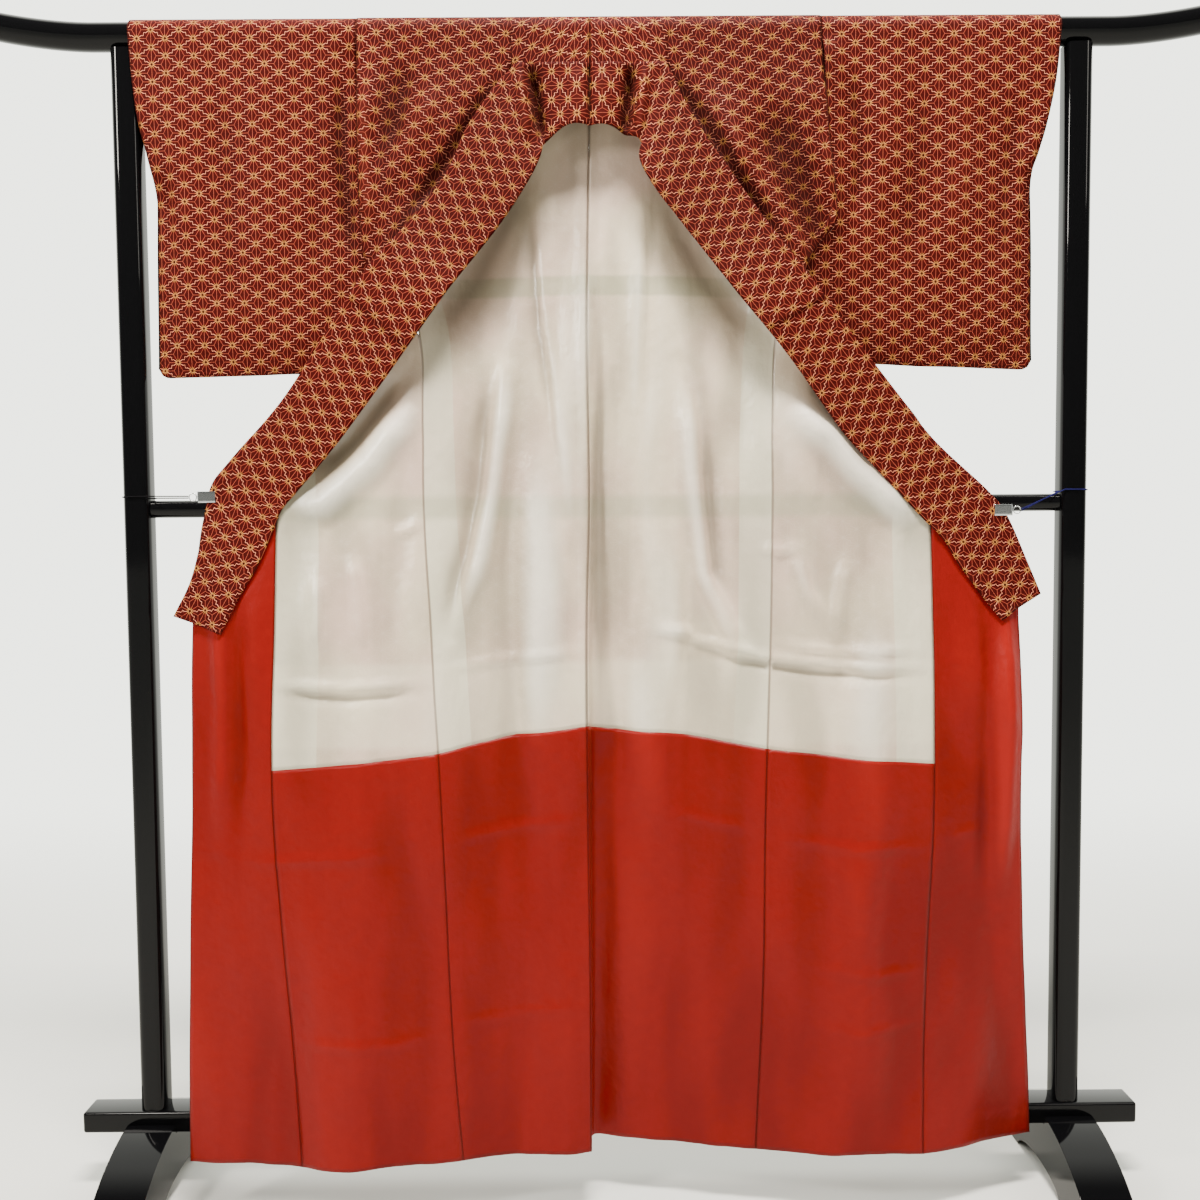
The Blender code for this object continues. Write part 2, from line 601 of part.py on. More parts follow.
def make_clip(side, back_depth, front_depth, finish):
    """A spring clip that grips the collar's sewn edge, open towards the cloth."""
    x, z, outward = CLIPS[side]
    back = back_depth + CLIP_PLATE
    front = front_depth - CLIP_PLATE
    mid = (back + front) / 2
    outline = [(-CLIP_REACH, back_depth), (-CLIP_REACH, back), (0.0, back)]
    for k in range(1, 6):
        angle = pi / 2 - pi * k / 6
        outline.append(((back - mid) * cos(angle), mid + (back - mid) * sin(angle)))
    outline += [(0.0, front), (-CLIP_REACH, front), (-CLIP_REACH, front_depth)]
    for k in range(5):
        angle = -pi / 2 + pi * k / 4
        outline.append(((back_depth - mid) * cos(angle) * 0.9, mid + (back_depth - mid) * sin(angle)))
    bm = bmesh.new()
    profile = [bm.verts.new((x + outward * (u + 0.004), y, z - CLIP_HEIGHT / 2)) for u, y in outline]
    face = bm.faces.new(profile)
    pushed = bmesh.ops.extrude_face_region(bm, geom=[face])
    moved = [g for g in pushed["geom"] if isinstance(g, bmesh.types.BMVert)]
    bmesh.ops.translate(bm, verts=moved, vec=(0, 0, CLIP_HEIGHT))
    add_object(f"clip_{side}", bm, finish)
    return Vector((x + outward * (0.004 + (back - mid)), mid, z))


def make_ring(side, at, outward, finish):
    """The wire ring on the clip's end, upright and side on to the viewer."""
    centre = at + Vector((outward * (RING_R + RING_WIRE + SEAM), 0, 0))
    bm = bmesh.new()
    around, sides = 16, 8
    rings = []
    for k in range(around):
        turn = 2 * pi * k / around
        out = Vector((cos(turn), 0, sin(turn)))
        ring = []
        for s in range(sides):
            angle = 2 * pi * s / sides
            ring.append(bm.verts.new(
                centre + out * (RING_R + RING_WIRE * cos(angle)) + Vector((0, RING_WIRE * sin(angle), 0))
            ))
        rings.append(ring)
    for k in range(around):
        low, high = rings[k], rings[(k + 1) % around]
        for s in range(sides):
            bm.faces.new([low[s], low[(s + 1) % sides], high[(s + 1) % sides], high[s]])
    add_object(f"ring_{side}", bm, finish)
    return centre


def make_cord(side, ring_centre, outward):
    """The thin cord from the ring round the post and back, as one line."""
    start = ring_centre + Vector((outward * (RING_R + RING_WIRE + 2 * SEAM), 0, 0))
    gap = POST_WIDTH / 2 + CORD_R + SEAM
    corner = 0.011
    post_x = outward * POST_X
    loop = []
    for centre_x, centre_y, first in ((-1, -1, 180), (1, -1, 270), (1, 1, 0), (-1, 1, 90)):
        for k in range(4):
            angle = radians(first + 90 * k / 3)
            loop.append((
                centre_x * (gap - corner) + corner * cos(angle),
                centre_y * (gap - corner) + corner * sin(angle),
            ))
    loop = loop[2:] + loop[:1]
    points = [start + Vector((0, 0, CORD_LOOP_DROP / 2))]
    for k, (u, v) in enumerate(loop):
        level = CORD_LOOP_HIGH - CORD_LOOP_DROP * k / (len(loop) - 1)
        points.append(Vector((post_x + outward * u, v, level)))
    points.append(start - Vector((0, 0, CORD_LOOP_DROP / 2)))
    curve = bpy.data.curves.new(f"cord_{side}", "CURVE")
    curve.dimensions = "3D"
    curve.bevel_depth = CORD_R
    curve.bevel_resolution = 2
    curve.use_fill_caps = True
    spline = curve.splines.new("POLY")
    spline.points.add(len(points) - 1)
    for slot, point in zip(spline.points, points):
        slot.co = (*point, 1.0)
    curve.materials.append(material(f"cord_{side}", CORD_COLOURS[side], 0.7))
    obj = bpy.data.objects.new(f"cord_{side}", curve)
    bpy.context.scene.collection.objects.link(obj)


def make_garment():
    """All the tailored pieces, and the depth of the cloth that each clip holds."""
    patterned = material("komon_cloth", (0.30, 0.035, 0.018), 0.6)
    white = material("white_lining", (0.78, 0.76, 0.70), 0.4)
    red = material("red_lining", (0.55, 0.03, 0.015), 0.45)
    body = Cloth()
    lay_half(body, "left", LEFT_LINES, False)
    lay_half(body, "right", RIGHT_LINES, True)
    body.sew()
    body.relax(["front_high_left", "front_high_right"], *TURN_HEIGHTS, TURN_EASING)
    out, inside = (SEAM / 2, SEAM / 2 + OUTER_CLOTH), (-SEAM / 2 - LINING_CLOTH, -SEAM / 2)
    for side in ("left", "right"):
        outer = [f"{part}_{side}" for part in ("back_low", "back_high", "front_low", "front_high")]
        body.piece(f"body_{side}", outer, *out, patterned)
        body.piece(f"okumi_{side}", [f"okumi_{side}"], *out, patterned)
        body.piece(f"lining_{side}", [f"back_high_{side}", f"front_high_{side}"], *inside, white)
        body.piece(f"hem_lining_back_{side}", [f"back_low_{side}"], *inside, red)
        body.piece(f"hem_lining_front_{side}", [f"front_low_{side}"], *inside, red)
        body.piece(f"okumi_lining_{side}", [f"okumi_{side}"], *inside, red)
    sleeves = Cloth()
    lay_sleeve(sleeves, "left", LEFT_LINES, False)
    lay_sleeve(sleeves, "right", RIGHT_LINES, True)
    sleeves.bm.normal_update()
    for side in ("left", "right"):
        half = OUTER_CLOTH / 2
        sleeves.piece(f"sleeve_{side}", [f"sleeve_{side}"], -half, half, patterned)
    collar = Cloth()
    rows = collar_rows(body)
    collar.add("left_end", rows[: OVER_COLLAR_FIRST + 1], True)
    collar.add("middle", rows[OVER_COLLAR_FIRST: OVER_COLLAR_LAST + 1], True)
    collar.add("right_end", rows[OVER_COLLAR_LAST:], True)
    collar.sew()
    half = COLLAR_CLOTH / 2
    collar.piece("collar", ["left_end", "middle", "right_end"], -half, half, patterned)
    over = half + SEAM
    collar.piece("over_collar", ["middle"], over, over + OVER_COLLAR_CLOTH, patterned)
    return BVHTree.FromBMesh(collar.bm)


def make_clips(collar):
    """The two clips, their rings and their cords, set on the cloth that they hold."""
    steel = material("bright_steel", (0.6, 0.6, 0.6), 0.2, 1.0)
    for side, lines in (("left", LEFT_LINES), ("right", RIGHT_LINES)):
        x, z, outward = CLIPS[side]
        fronts, backs = [], []
        for level in (z - CLIP_HEIGHT / 2, z, z + CLIP_HEIGHT / 2):
            backs.append(smooth_curve(lines["edge"], level)[1])
            for reach in (0.004, CLIP_REACH / 2, CLIP_REACH):
                _, _, _, way = collar.ray_cast(Vector((x - outward * reach, -1.0, level)), Vector((0, 1, 0)))
                if way is not None:
                    fronts.append(way - 1.0)
        front_depth = min(fronts) - COLLAR_CLOTH / 2 - 1.5 * SEAM
        back_depth = max(backs) + OUTER_CLOTH + 2 * SEAM
        end = make_clip(side, back_depth, front_depth, steel)
        centre = make_ring(side, end, outward, steel)
        make_cord(side, centre, outward)


def main():
    """Clears the scene and builds the garment on its stand."""
    for old in list(bpy.data.objects):
        bpy.data.objects.remove(old, do_unlink=True)
    make_stand()
    make_clips(make_garment())


main()
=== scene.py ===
"""A lined komon kimono hung open on its lacquered kimono stand: cloth, lacquer, clips, light and camera.

Metres, +Z up, the viewer looks along +Y. Left and right are the viewer's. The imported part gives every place.
"""

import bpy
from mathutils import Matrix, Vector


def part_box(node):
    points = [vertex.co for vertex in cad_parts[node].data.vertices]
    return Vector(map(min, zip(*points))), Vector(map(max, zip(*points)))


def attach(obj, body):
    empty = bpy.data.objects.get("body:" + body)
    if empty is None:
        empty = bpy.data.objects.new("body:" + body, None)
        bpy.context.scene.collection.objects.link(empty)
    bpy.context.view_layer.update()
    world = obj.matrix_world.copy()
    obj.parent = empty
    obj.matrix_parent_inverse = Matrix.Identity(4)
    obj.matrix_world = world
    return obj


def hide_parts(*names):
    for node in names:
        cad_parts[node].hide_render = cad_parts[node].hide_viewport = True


bl_info = {
    "name": "Komon kimono on its stand",
    "version": (1, 0, 0),
    "blender": (4, 5, 0),
    "location": "View3D > Sidebar > Kimono",
    "description": "Lays the pieces of an open kimono over a kimono stand and gives them their finishes",
    "category": "Add Mesh",
}

from functools import lru_cache
from math import atan2, cos, hypot, pi, radians, sin, sqrt

import bmesh
import bpy
import numpy as np
from bpy.props import FloatProperty, FloatVectorProperty, PointerProperty
from mathutils import Matrix, Vector, noise
from mathutils.bvhtree import BVHTree

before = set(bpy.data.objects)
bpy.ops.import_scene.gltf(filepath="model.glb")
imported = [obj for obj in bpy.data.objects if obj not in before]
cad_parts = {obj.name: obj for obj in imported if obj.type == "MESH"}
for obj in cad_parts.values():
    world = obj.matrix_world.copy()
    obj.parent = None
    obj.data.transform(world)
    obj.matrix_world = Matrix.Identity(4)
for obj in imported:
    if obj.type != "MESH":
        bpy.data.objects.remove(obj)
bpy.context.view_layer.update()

# How far apart sewn pieces stand, how far their edges are drawn in, and the thickness of each cloth.
SEAM = 0.0003
SEAM_EASE = 0.00004
OUTER_CLOTH = 0.0012
LINING_CLOTH = 0.0010
COLLAR_CLOTH = 0.0024
OVER_COLLAR_CLOTH = 0.0010

# The stand.
POST_X = 0.6456
POST_WIDTH = 0.0369
POST_ROUNDING = 0.0115
POST_ROUNDING_STEPS = 10
RAIL_Z = 1.5963
RAIL_R = 0.0190
RAIL_HALF = 0.830
RAIL_STRAIGHT = 0.690
RAIL_LIFT = 0.017
RAIL_BEND_POWER = 1.7
RAIL_STEPS = 120
RAIL_CAP = 0.0055
RAIL_CAP_LIFT = 0.0010
BAR_SIDES = 48
BAR_END_STEPS = 5
BAR_END_RING = 0.6
CROSS_RAIL_Z = 0.9577
CROSS_RAIL_R = 0.0120
PLANK_LENGTH = 1.485
PLANK_DEPTH = 0.0455
PLANK_LOW = 0.0820
PLANK_HIGH = 0.1116
FOOT_WIDTH = 0.068
FOOT_CREST = 0.0945
FOOT_HALF = 0.195
FOOT_RADIUS = 0.262
FOOT_RELIEF_HALF = 0.080
FOOT_RELIEF_RISE = 0.022
FOOT_STEPS = 28
FOOT_NOTCH_STEPS = 8
FOOT_LAYERS = 4
FOOT_ROUNDING_STEPS = 4
PLANK_ROUNDING_STEPS = 5
ROUNDING_EXTRA = 0.001
SHARP_DEGREES = 50
SAME_POINT = 1e-5

# The garment on the stand.
HEM_Z = 0.0800
DRAPE_R = 0.0209
NECK_Z = 1.5450
SIDE_SEAM_TOP = 1.190
ARMHOLE_LOW = 1.390
ARMHOLE_X = {"left": -0.330, "right": 0.294}
SHOULDER_LOW = 1.555
# Where each overlap panel runs out under the collar.
OKUMI_TOP = {"left": 1.060, "right": 1.010}
# The columns that the seam and fold lines are counted in.
NECK_COLUMNS = 4
BACK_COLUMNS = 11
FRONT_COLUMNS = BACK_COLUMNS - NECK_COLUMNS
OKUMI_COLUMNS = 3

# Each seam or fold line of a half, as rows of (height, across, depth).
LEFT_LINES = {
    "centre": (
        (0.08, -0.0277, -0.077), (0.28, -0.0265, -0.068), (0.55, -0.028, -0.058),
        (0.8, -0.0275, -0.044), (0.957, -0.023, -0.03), (1.19, -0.024, -0.014),
        (1.46, -0.019, 0.01), (1.5963, -0.0165, 0.0209),
    ),
    "pleat": (
        (0.08, -0.06, -0.084), (0.28, -0.068, -0.069), (0.55, -0.072, -0.054),
        (0.8, -0.076, -0.037), (0.957, -0.076, -0.02), (1.19, -0.082, -0.009),
        (1.46, -0.073, 0.011), (1.5963, -0.06975, 0.0209),
    ),
    "back": (
        (0.08, -0.1065, -0.084), (0.28, -0.115, -0.066), (0.55, -0.122, -0.046),
        (0.8, -0.128, -0.029), (0.957, -0.133, -0.0165), (1.19, -0.142, -0.004),
        (1.46, -0.128, 0.012), (1.5963, -0.123, 0.0209),
    ),
    "side": (
        (0.08, -0.199, -0.095), (0.28, -0.2135, -0.085), (0.55, -0.224, -0.07),
        (0.8, -0.238, -0.05), (0.957, -0.247, -0.03), (1.06, -0.2475, -0.023),
        (1.19, -0.252, -0.017), (1.29, -0.29, -0.005), (1.39, -0.33, 0.006),
        (1.46, -0.33, 0.012), (1.5963, -0.33, 0.0209),
    ),
    "front_side": (
        (1.19, -0.252, -0.017), (1.24, -0.296, -0.021), (1.29, -0.323, -0.023),
        (1.34, -0.3285, -0.023), (1.39, -0.33, -0.0225), (1.46, -0.33, -0.0215),
        (1.5963, -0.33, -0.0209),
    ),
    "front": (
        (0.08, -0.3, -0.117), (0.28, -0.32, -0.103), (0.55, -0.33, -0.08),
        (0.8, -0.335, -0.055), (0.957, -0.345, -0.033), (1.06, -0.352, -0.032),
        (1.12, -0.333, -0.031), (1.19, -0.308, -0.035), (1.24, -0.285, -0.04),
        (1.29, -0.271, -0.035), (1.34, -0.274, -0.033), (1.39, -0.269, -0.031),
        (1.46, -0.254, -0.027), (1.545, -0.2265, -0.0215), (1.5963, -0.2265, -0.0209),
    ),
    "okumi": (
        (0.08, -0.412, -0.114), (0.28, -0.428, -0.09), (0.55, -0.449, -0.075),
        (0.8, -0.4475, -0.056), (0.957, -0.447, -0.038), (1.06, -0.448, -0.037),
        (1.12, -0.4215, -0.04),
    ),
    "edge": (
        (0.08, -0.567, -0.085), (0.28, -0.566, -0.072), (0.55, -0.5625, -0.06),
        (0.8, -0.562, -0.045), (0.88, -0.556, -0.04), (0.957, -0.543, -0.034),
        (1.01, -0.516, -0.035), (1.06, -0.472, -0.036), (1.12, -0.4215, -0.04),
        (1.19, -0.3725, -0.044), (1.24, -0.338, -0.05), (1.29, -0.3, -0.052),
        (1.34, -0.256, -0.042), (1.39, -0.2165, -0.036), (1.46, -0.1825, -0.031),
        (1.505, -0.153, -0.026), (1.545, -0.123, -0.0217), (1.5963, -0.123, -0.0209),
    ),
}

RIGHT_LINES = {
    "centre": LEFT_LINES["centre"],
    "pleat": (
        (0.08, -0.0208, -0.028), (0.28, -0.016, -0.026), (0.55, -0.012, -0.026),
        (0.8, -0.008, -0.024), (0.957, -0.004, -0.0165), (1.19, 0.008, -0.008),
        (1.46, 0.03, 0.011), (1.5963, 0.03575, 0.0209),
    ),
    "back": (
        (0.08, 0.061, -0.049), (0.28, 0.07, -0.042), (0.55, 0.078, -0.035),
        (0.8, 0.085, -0.026), (0.957, 0.09, -0.0165), (1.19, 0.098, -0.004),
        (1.46, 0.091, 0.012), (1.5963, 0.088, 0.0209),
    ),
    "side": (
        (0.08, 0.197, -0.079), (0.28, 0.207, -0.072), (0.55, 0.213, -0.06),
        (0.8, 0.223, -0.045), (0.957, 0.2263, -0.03), (1.06, 0.2265, -0.023),
        (1.19, 0.235, -0.017), (1.29, 0.262, -0.005), (1.39, 0.29, 0.006),
        (1.46, 0.293, 0.012), (1.5963, 0.294, 0.0209),
    ),
    "front_side": (
        (1.19, 0.235, -0.017), (1.24, 0.258, -0.021), (1.29, 0.274, -0.024),
        (1.318, 0.3, -0.024), (1.34, 0.3155, -0.0235), (1.39, 0.312, -0.0225), (1.46, 0.304, -0.0215),
        (1.5963, 0.294, -0.0209),
    ),
    "front": (
        (0.08, 0.3236, -0.095), (0.28, 0.325, -0.085), (0.55, 0.33, -0.07),
        (0.8, 0.332, -0.052), (0.957, 0.335, -0.033), (1.06, 0.33, -0.032),
        (1.12, 0.303, -0.033), (1.19, 0.27, -0.038), (1.24, 0.264, -0.036),
        (1.29, 0.272, -0.034), (1.34, 0.264, -0.033), (1.39, 0.244, -0.031),
        (1.46, 0.217, -0.027), (1.545, 0.1915, -0.0215), (1.5963, 0.191, -0.0209),
    ),
    "okumi": (
        (0.08, 0.4205, -0.0915), (0.28, 0.4262, -0.08), (0.55, 0.4393, -0.068),
        (0.8, 0.44, -0.053), (0.957, 0.4405, -0.038), (1.01, 0.4405, -0.037),
        (1.06, 0.43, -0.036), (1.12, 0.382, -0.04),
    ),
    "edge": (
        (0.08, 0.5847, -0.036), (0.28, 0.5715, -0.045), (0.55, 0.5586, -0.05),
        (0.8, 0.56, -0.043), (0.88, 0.556, -0.038), (0.957, 0.53, -0.034),
        (1.01, 0.478, -0.035), (1.06, 0.43, -0.036), (1.12, 0.382, -0.04),
        (1.19, 0.325, -0.047), (1.24, 0.287, -0.051), (1.29, 0.25, -0.048),
        (1.34, 0.212, -0.041), (1.39, 0.1775, -0.036), (1.46, 0.1305, -0.031),
        (1.505, 0.105, -0.026), (1.545, 0.088, -0.0217), (1.5963, 0.088, -0.0209),
    ),
}

LINES = {"left": LEFT_LINES, "right": RIGHT_LINES}

# The fronts turn inside out behind the collar between these heights. Their own creases start at the split.
TURN_HEIGHTS = (1.13, 1.4)
FRONT_SPLIT = 1.2

# The cuff edge of each sleeve, as rows of (height, across).
CUFF_LINES = {
    "left": (
        (1.137, -0.614), (1.35, -0.6095), (1.398, -0.611), (1.439, -0.618),
        (1.478, -0.6265), (1.536, -0.6328), (1.5963, -0.6362),
    ),
    "right": (
        (1.137, 0.589), (1.366, 0.5845), (1.407, 0.583), (1.431, 0.59),
        (1.468, 0.6006), (1.528, 0.612), (1.5963, 0.6175),
    ),
}
# The sleeve's inner edge below the armhole, where it hangs free behind the collar.
SLEEVE_INNER = {
    "left": ((1.13, -0.32), (1.22, -0.305), (1.29, -0.302), (1.34, -0.315), (1.39, -0.33)),
    "right": ((1.13, 0.318), (1.2, 0.295), (1.27, 0.262), (1.3, 0.266), (1.335, 0.3), (1.39, 0.312)),
}
# The height of each sleeve's bottom seam at its inner and at its outer end.
SLEEVE_BOTTOM = {"left": (1.144, 1.137), "right": (1.153, 1.14)}
SLEEVE_CORNER_R = 0.016
# How thick a closed sleeve is, its fullness just above the bottom seam, and how fast both come up from there.
SLEEVE_MOUTH = 0.0009
SLEEVE_BELLY = 0.18
SLEEVE_BELLY_RISE = 9
SLEEVE_MOUTH_RISE = 40
# How far a sleeve's front rolls forward or back beside the armhole, over which share of the sleeve, how fast
# that comes up from the bottom seam, and the band in which it fades under the rail.
SLEEVE_ROLL = {"left": -0.006, "right": 0.01}
ROLL_SHARE = 0.16
ROLL_RISE = 3
ROLL_TOP = 1.586
ROLL_FADE = 0.025
# The cuff is sewn shut below its opening, over the last share of the sleeve.
CUFF_OPENING_LOW = 1.4
CUFF_FADE = 0.06
CUFF_SHARE = 0.86

# The collar, from its left end over the back of the neck to its right end. Each row has the sewn edge's
# across and height and the free edge's across and height.
COLLAR = (
    (-0.5858, 0.8121, -0.5185, 0.7883),
    (-0.5642, 0.8554, -0.499, 0.83),
    (-0.5523, 0.8974, -0.47, 0.88),
    (-0.545, 0.94, -0.449, 0.929),
    (-0.534, 0.987, -0.437, 0.956),
    (-0.5072, 1.0212, -0.417, 0.979),
    (-0.4339, 1.1023, -0.361, 1.043),
    (-0.373, 1.19, -0.299, 1.122),
    (-0.3122, 1.2768, -0.233, 1.209),
    (-0.2727, 1.32, -0.199, 1.256),
    (-0.2141, 1.3932, -0.139, 1.332),
    (-0.1825, 1.4597, -0.1, 1.391),
    (-0.154, 1.5038, -0.084, 1.425),
    (-0.123, 1.5399, -0.0815, 1.44),
    (-0.0949, 1.5444, -0.07, 1.451),
    (-0.06, 1.5448, -0.0469, 1.4673),
    (-0.0167, 1.5448, -0.0175, 1.4671),
    (0.028, 1.5448, 0.009, 1.466),
    (0.06, 1.5444, 0.037, 1.454),
    (0.0881, 1.5412, 0.051, 1.443),
    (0.1066, 1.5021, 0.049, 1.418),
    (0.137, 1.4485, 0.0684, 1.3807),
    (0.1716, 1.3985, 0.096, 1.3435),
    (0.2089, 1.3444, 0.133, 1.295),
    (0.2626, 1.2728, 0.186, 1.226),
    (0.3273, 1.1874, 0.25, 1.148),
    (0.4005, 1.0961, 0.319, 1.054),
    (0.4455, 1.0407, 0.368, 1.001),
    (0.5194, 0.9714, 0.425, 0.94),
    (0.545, 0.938, 0.456, 0.908),
    (0.5721, 0.8747, 0.479, 0.869),
    (0.589, 0.833, 0.532, 0.798),
)
COLLAR_LIFT = 0.0048
COLLAR_FREE_LIFT = 0.003
COLLAR_GRAIN = radians(51.8)
COLLAR_SMOOTHING = 6
# The rows between which the collar lies across the neck, and how near its ends its pattern starts to turn.
NECK_FIRST = 14
NECK_LAST = 18
COLLAR_END_ROWS = 5
# It turns over so many rows, by this share, towards the way that the collar's middle line takes there.
COLLAR_TURN_ROWS = 2
COLLAR_TURN_SHARE = 0.8
COLLAR_REACH = 14
# The over-collar's two ends, counted in half rows.
COLLAR_STEPS = 2
OVER_COLLAR_FIRST = 15
OVER_COLLAR_LAST = 49
# Above this height the collar lies close on the neck and its sewn edge stands a little higher.
NECK_TURN_Z = 1.538
NECK_TURN_FADE = 0.006
NECK_TURN_RISE = 0.005
NECK_TURN_LIFT = 0.003

# The clips and their rings.
CLIP_HEIGHT = 0.015
CLIP_REACH = 0.02
CLIP_PLATE = 0.0012
RING_R = 0.005
RING_WIRE = 0.0007
RING_WIRE_SIDES = 16
RING_STEPS = 64
# Each clip's place on the collar, as (across, height), and how far its bend stands out from there.
CLIPS = {"left": (-0.544, 0.973), "right": (0.5425, 0.947)}
CLIP_SET = 0.004
CLIP_SHARE = 0.8
CLIP_ROUNDING = 0.0003
CLIP_CELLS = (60, 6)


def smooth_curve(rows, at):
    """The values of a table at one place, on a smooth curve. Each row starts with its place."""
    place = min(max(at, rows[0][0]), rows[-1][0])
    k = max(i for i in range(len(rows) - 1) if rows[i][0] <= place)
    low, high = rows[k], rows[k + 1]
    before, after = rows[max(k - 1, 0)], rows[min(k + 2, len(rows) - 1)]
    span = high[0] - low[0]
    t = (place - low[0]) / span
    values = []
    for c in range(1, len(low)):
        slope_low = (high[c] - before[c]) / (high[0] - before[0])
        slope_high = (after[c] - low[c]) / (after[0] - low[0])
        values.append(
            low[c] * (2 * t**3 - 3 * t**2 + 1)
            + slope_low * span * (t**3 - 2 * t**2 + t)
            + high[c] * (3 * t**2 - 2 * t**3)
            + slope_high * span * (t**3 - t**2)
        )
    return values


def ease(t):
    """0 before 0, 1 after 1, and smooth between them."""
    t = min(max(t, 0.0), 1.0)
    return t * t * (3 - 2 * t)


# Creases pressed or hung into the cloth. Each has its height towards the viewer and its half width, and the
# points it runs through, as (across, height).
INSIDE_CREASES = (
    (0.012, 0.012, ((0.538, 0.86), (0.542, 0.74), (0.538, 0.6), (0.53, 0.4))),
    (-0.008, 0.012, ((0.512, 0.88), (0.515, 0.74), (0.512, 0.6), (0.505, 0.4))),
    (0.009, 0.012, ((-0.525, 0.86), (-0.52, 0.7), (-0.525, 0.5))),
    (-0.007, 0.012, ((-0.5, 0.86), (-0.497, 0.7), (-0.5, 0.5))),
    (0.007, 0.007, ((-0.03, 1.44), (-0.029, 1.2), (-0.03, 0.9), (-0.031, 0.6))),
    (-0.006, 0.008, ((-0.008, 1.44), (-0.008, 1.2), (-0.009, 0.9), (-0.009, 0.6))),
    (0.017, 0.015,
     ((-0.13, 1.18), (-0.1348, 1.1361), (-0.1546, 0.9746), (-0.1736, 0.8844), (-0.211, 0.7689))),
    (-0.0085, 0.013, ((-0.16, 1.1361), (-0.176, 0.9746), (-0.195, 0.8844), (-0.225, 0.78))),
    (0.006, 0.006,
     ((-0.0943, 1.3976), (-0.0896, 1.3333), (-0.0774, 1.197), (-0.0571, 1.0278), (-0.043, 0.9066))),
    (-0.007, 0.01, ((-0.106, 1.3976), (-0.101, 1.3333), (-0.089, 1.197), (-0.069, 1.0278))),
    (0.006, 0.006, ((0.0595, 1.4033), (0.0509, 1.327), (0.04, 1.1241), (0.027, 1.0395), (0.0201, 0.834))),
    (-0.007, 0.01, ((0.071, 1.4033), (0.063, 1.327), (0.052, 1.1241), (0.039, 1.0395))),
    (0.017, 0.014,
     ((0.103, 1.17), (0.1144, 1.0624), (0.1209, 0.9725), (0.1315, 0.864), (0.1589, 0.7962), (0.1892, 0.7599))),
    (-0.0085, 0.013, ((0.133, 1.0624), (0.14, 0.9725), (0.15, 0.864), (0.175, 0.805))),
    (-0.0119, 0.026, ((-0.1, 1.44), (-0.15, 1.34), (-0.2, 1.25), (-0.245, 1.18))),
    (-0.0119, 0.026, ((0.07, 1.44), (0.115, 1.33), (0.165, 1.25), (0.22, 1.17))),
    (0.0187, 0.02, ((-0.2529, 1.1055), (-0.3193, 1.0173), (-0.38, 0.9637), (-0.4346, 0.9466))),
    (-0.0136, 0.018, ((-0.27, 1.15), (-0.345, 1.055), (-0.41, 0.995))),
    (0.0187, 0.02, ((0.2419, 1.0951), (0.3017, 1.0476), (0.3371, 1.0), (0.3795, 0.9632), (0.4342, 0.922))),
    (-0.0136, 0.018, ((0.265, 1.14), (0.325, 1.085), (0.38, 1.005))),
    (0.0051, 0.006, ((-0.4493, 0.7221), (-0.3513, 0.7144), (-0.2421, 0.7217))),
    (-0.0048, 0.008, ((-0.4493, 0.709), (-0.3513, 0.701), (-0.2421, 0.708))),
    (0.0036, 0.006, ((-0.2282, 0.738), (-0.119, 0.7521), (-0.0302, 0.761))),
    (0.0048, 0.006, ((0.0383, 0.811), (0.1267, 0.7733), (0.2085, 0.7521), (0.3042, 0.7389), (0.441, 0.735))),
    (-0.0048, 0.007, ((0.1267, 0.762), (0.2085, 0.74), (0.3042, 0.727), (0.441, 0.723))),
    (0.0048, 0.006, ((0.23, 0.772), (0.31, 0.756), (0.42, 0.761))),
    (0.0036, 0.006, ((0.055, 0.788), (0.09, 0.784), (0.125, 0.789))),
    (0.008, 0.01, ((-0.342, 0.9), (-0.335, 0.83), (-0.333, 0.76))),
    (0.008, 0.01, ((-0.39, 0.87), (-0.388, 0.8), (-0.392, 0.76))),
    (0.009, 0.009, ((0.325, 0.89), (0.312, 0.82), (0.308, 0.78))),
    (0.008, 0.009, ((0.25, 0.9), (0.27, 0.84), (0.295, 0.8))),
    (0.005, 0.006, ((0.21, 0.9), (0.235, 0.893), (0.265, 0.898))),
    (0.005, 0.006, ((-0.29, 0.92), (-0.26, 0.93), (-0.248, 0.95))),
    (0.0021, 0.006, ((-0.4944, 0.4875), (-0.4535, 0.4829), (-0.2862, 0.4939))),
    (0.0021, 0.006, ((-0.4272, 0.246), (-0.2906, 0.239), (-0.2254, 0.2524))),
    (0.0019, 0.006, ((-0.2271, 0.5044), (-0.1186, 0.5229), (-0.0295, 0.5318))),
    (0.0017, 0.006, ((-0.2114, 0.2622), (-0.0994, 0.2709), (-0.0302, 0.2815))),
    (0.0017, 0.006, ((0.0816, 0.5391), (0.14, 0.527), (0.1995, 0.5172))),
    (0.0021, 0.006, ((0.2242, 0.5072), (0.3327, 0.4923), (0.4413, 0.4955))),
    (0.0017, 0.006, ((0.4591, 0.5051), (0.483, 0.512), (0.5071, 0.5199))),
    (0.0017, 0.006, ((0.2628, 0.3364), (0.3513, 0.3215), (0.4315, 0.3277))),
    (0.0017, 0.006, ((0.2629, 0.2546), (0.3336, 0.2426), (0.4264, 0.2601))),
    (0.0036, 0.022, ((-0.34, 0.52), (-0.33, 0.35), (-0.335, 0.12))),
    (0.003, 0.02, ((-0.13, 0.55), (-0.125, 0.35), (-0.13, 0.12))),
    (0.0036, 0.022, ((0.34, 0.52), (0.335, 0.35), (0.35, 0.12))),
    (0.003, 0.02, ((0.13, 0.52), (0.128, 0.35), (0.125, 0.12))),
)
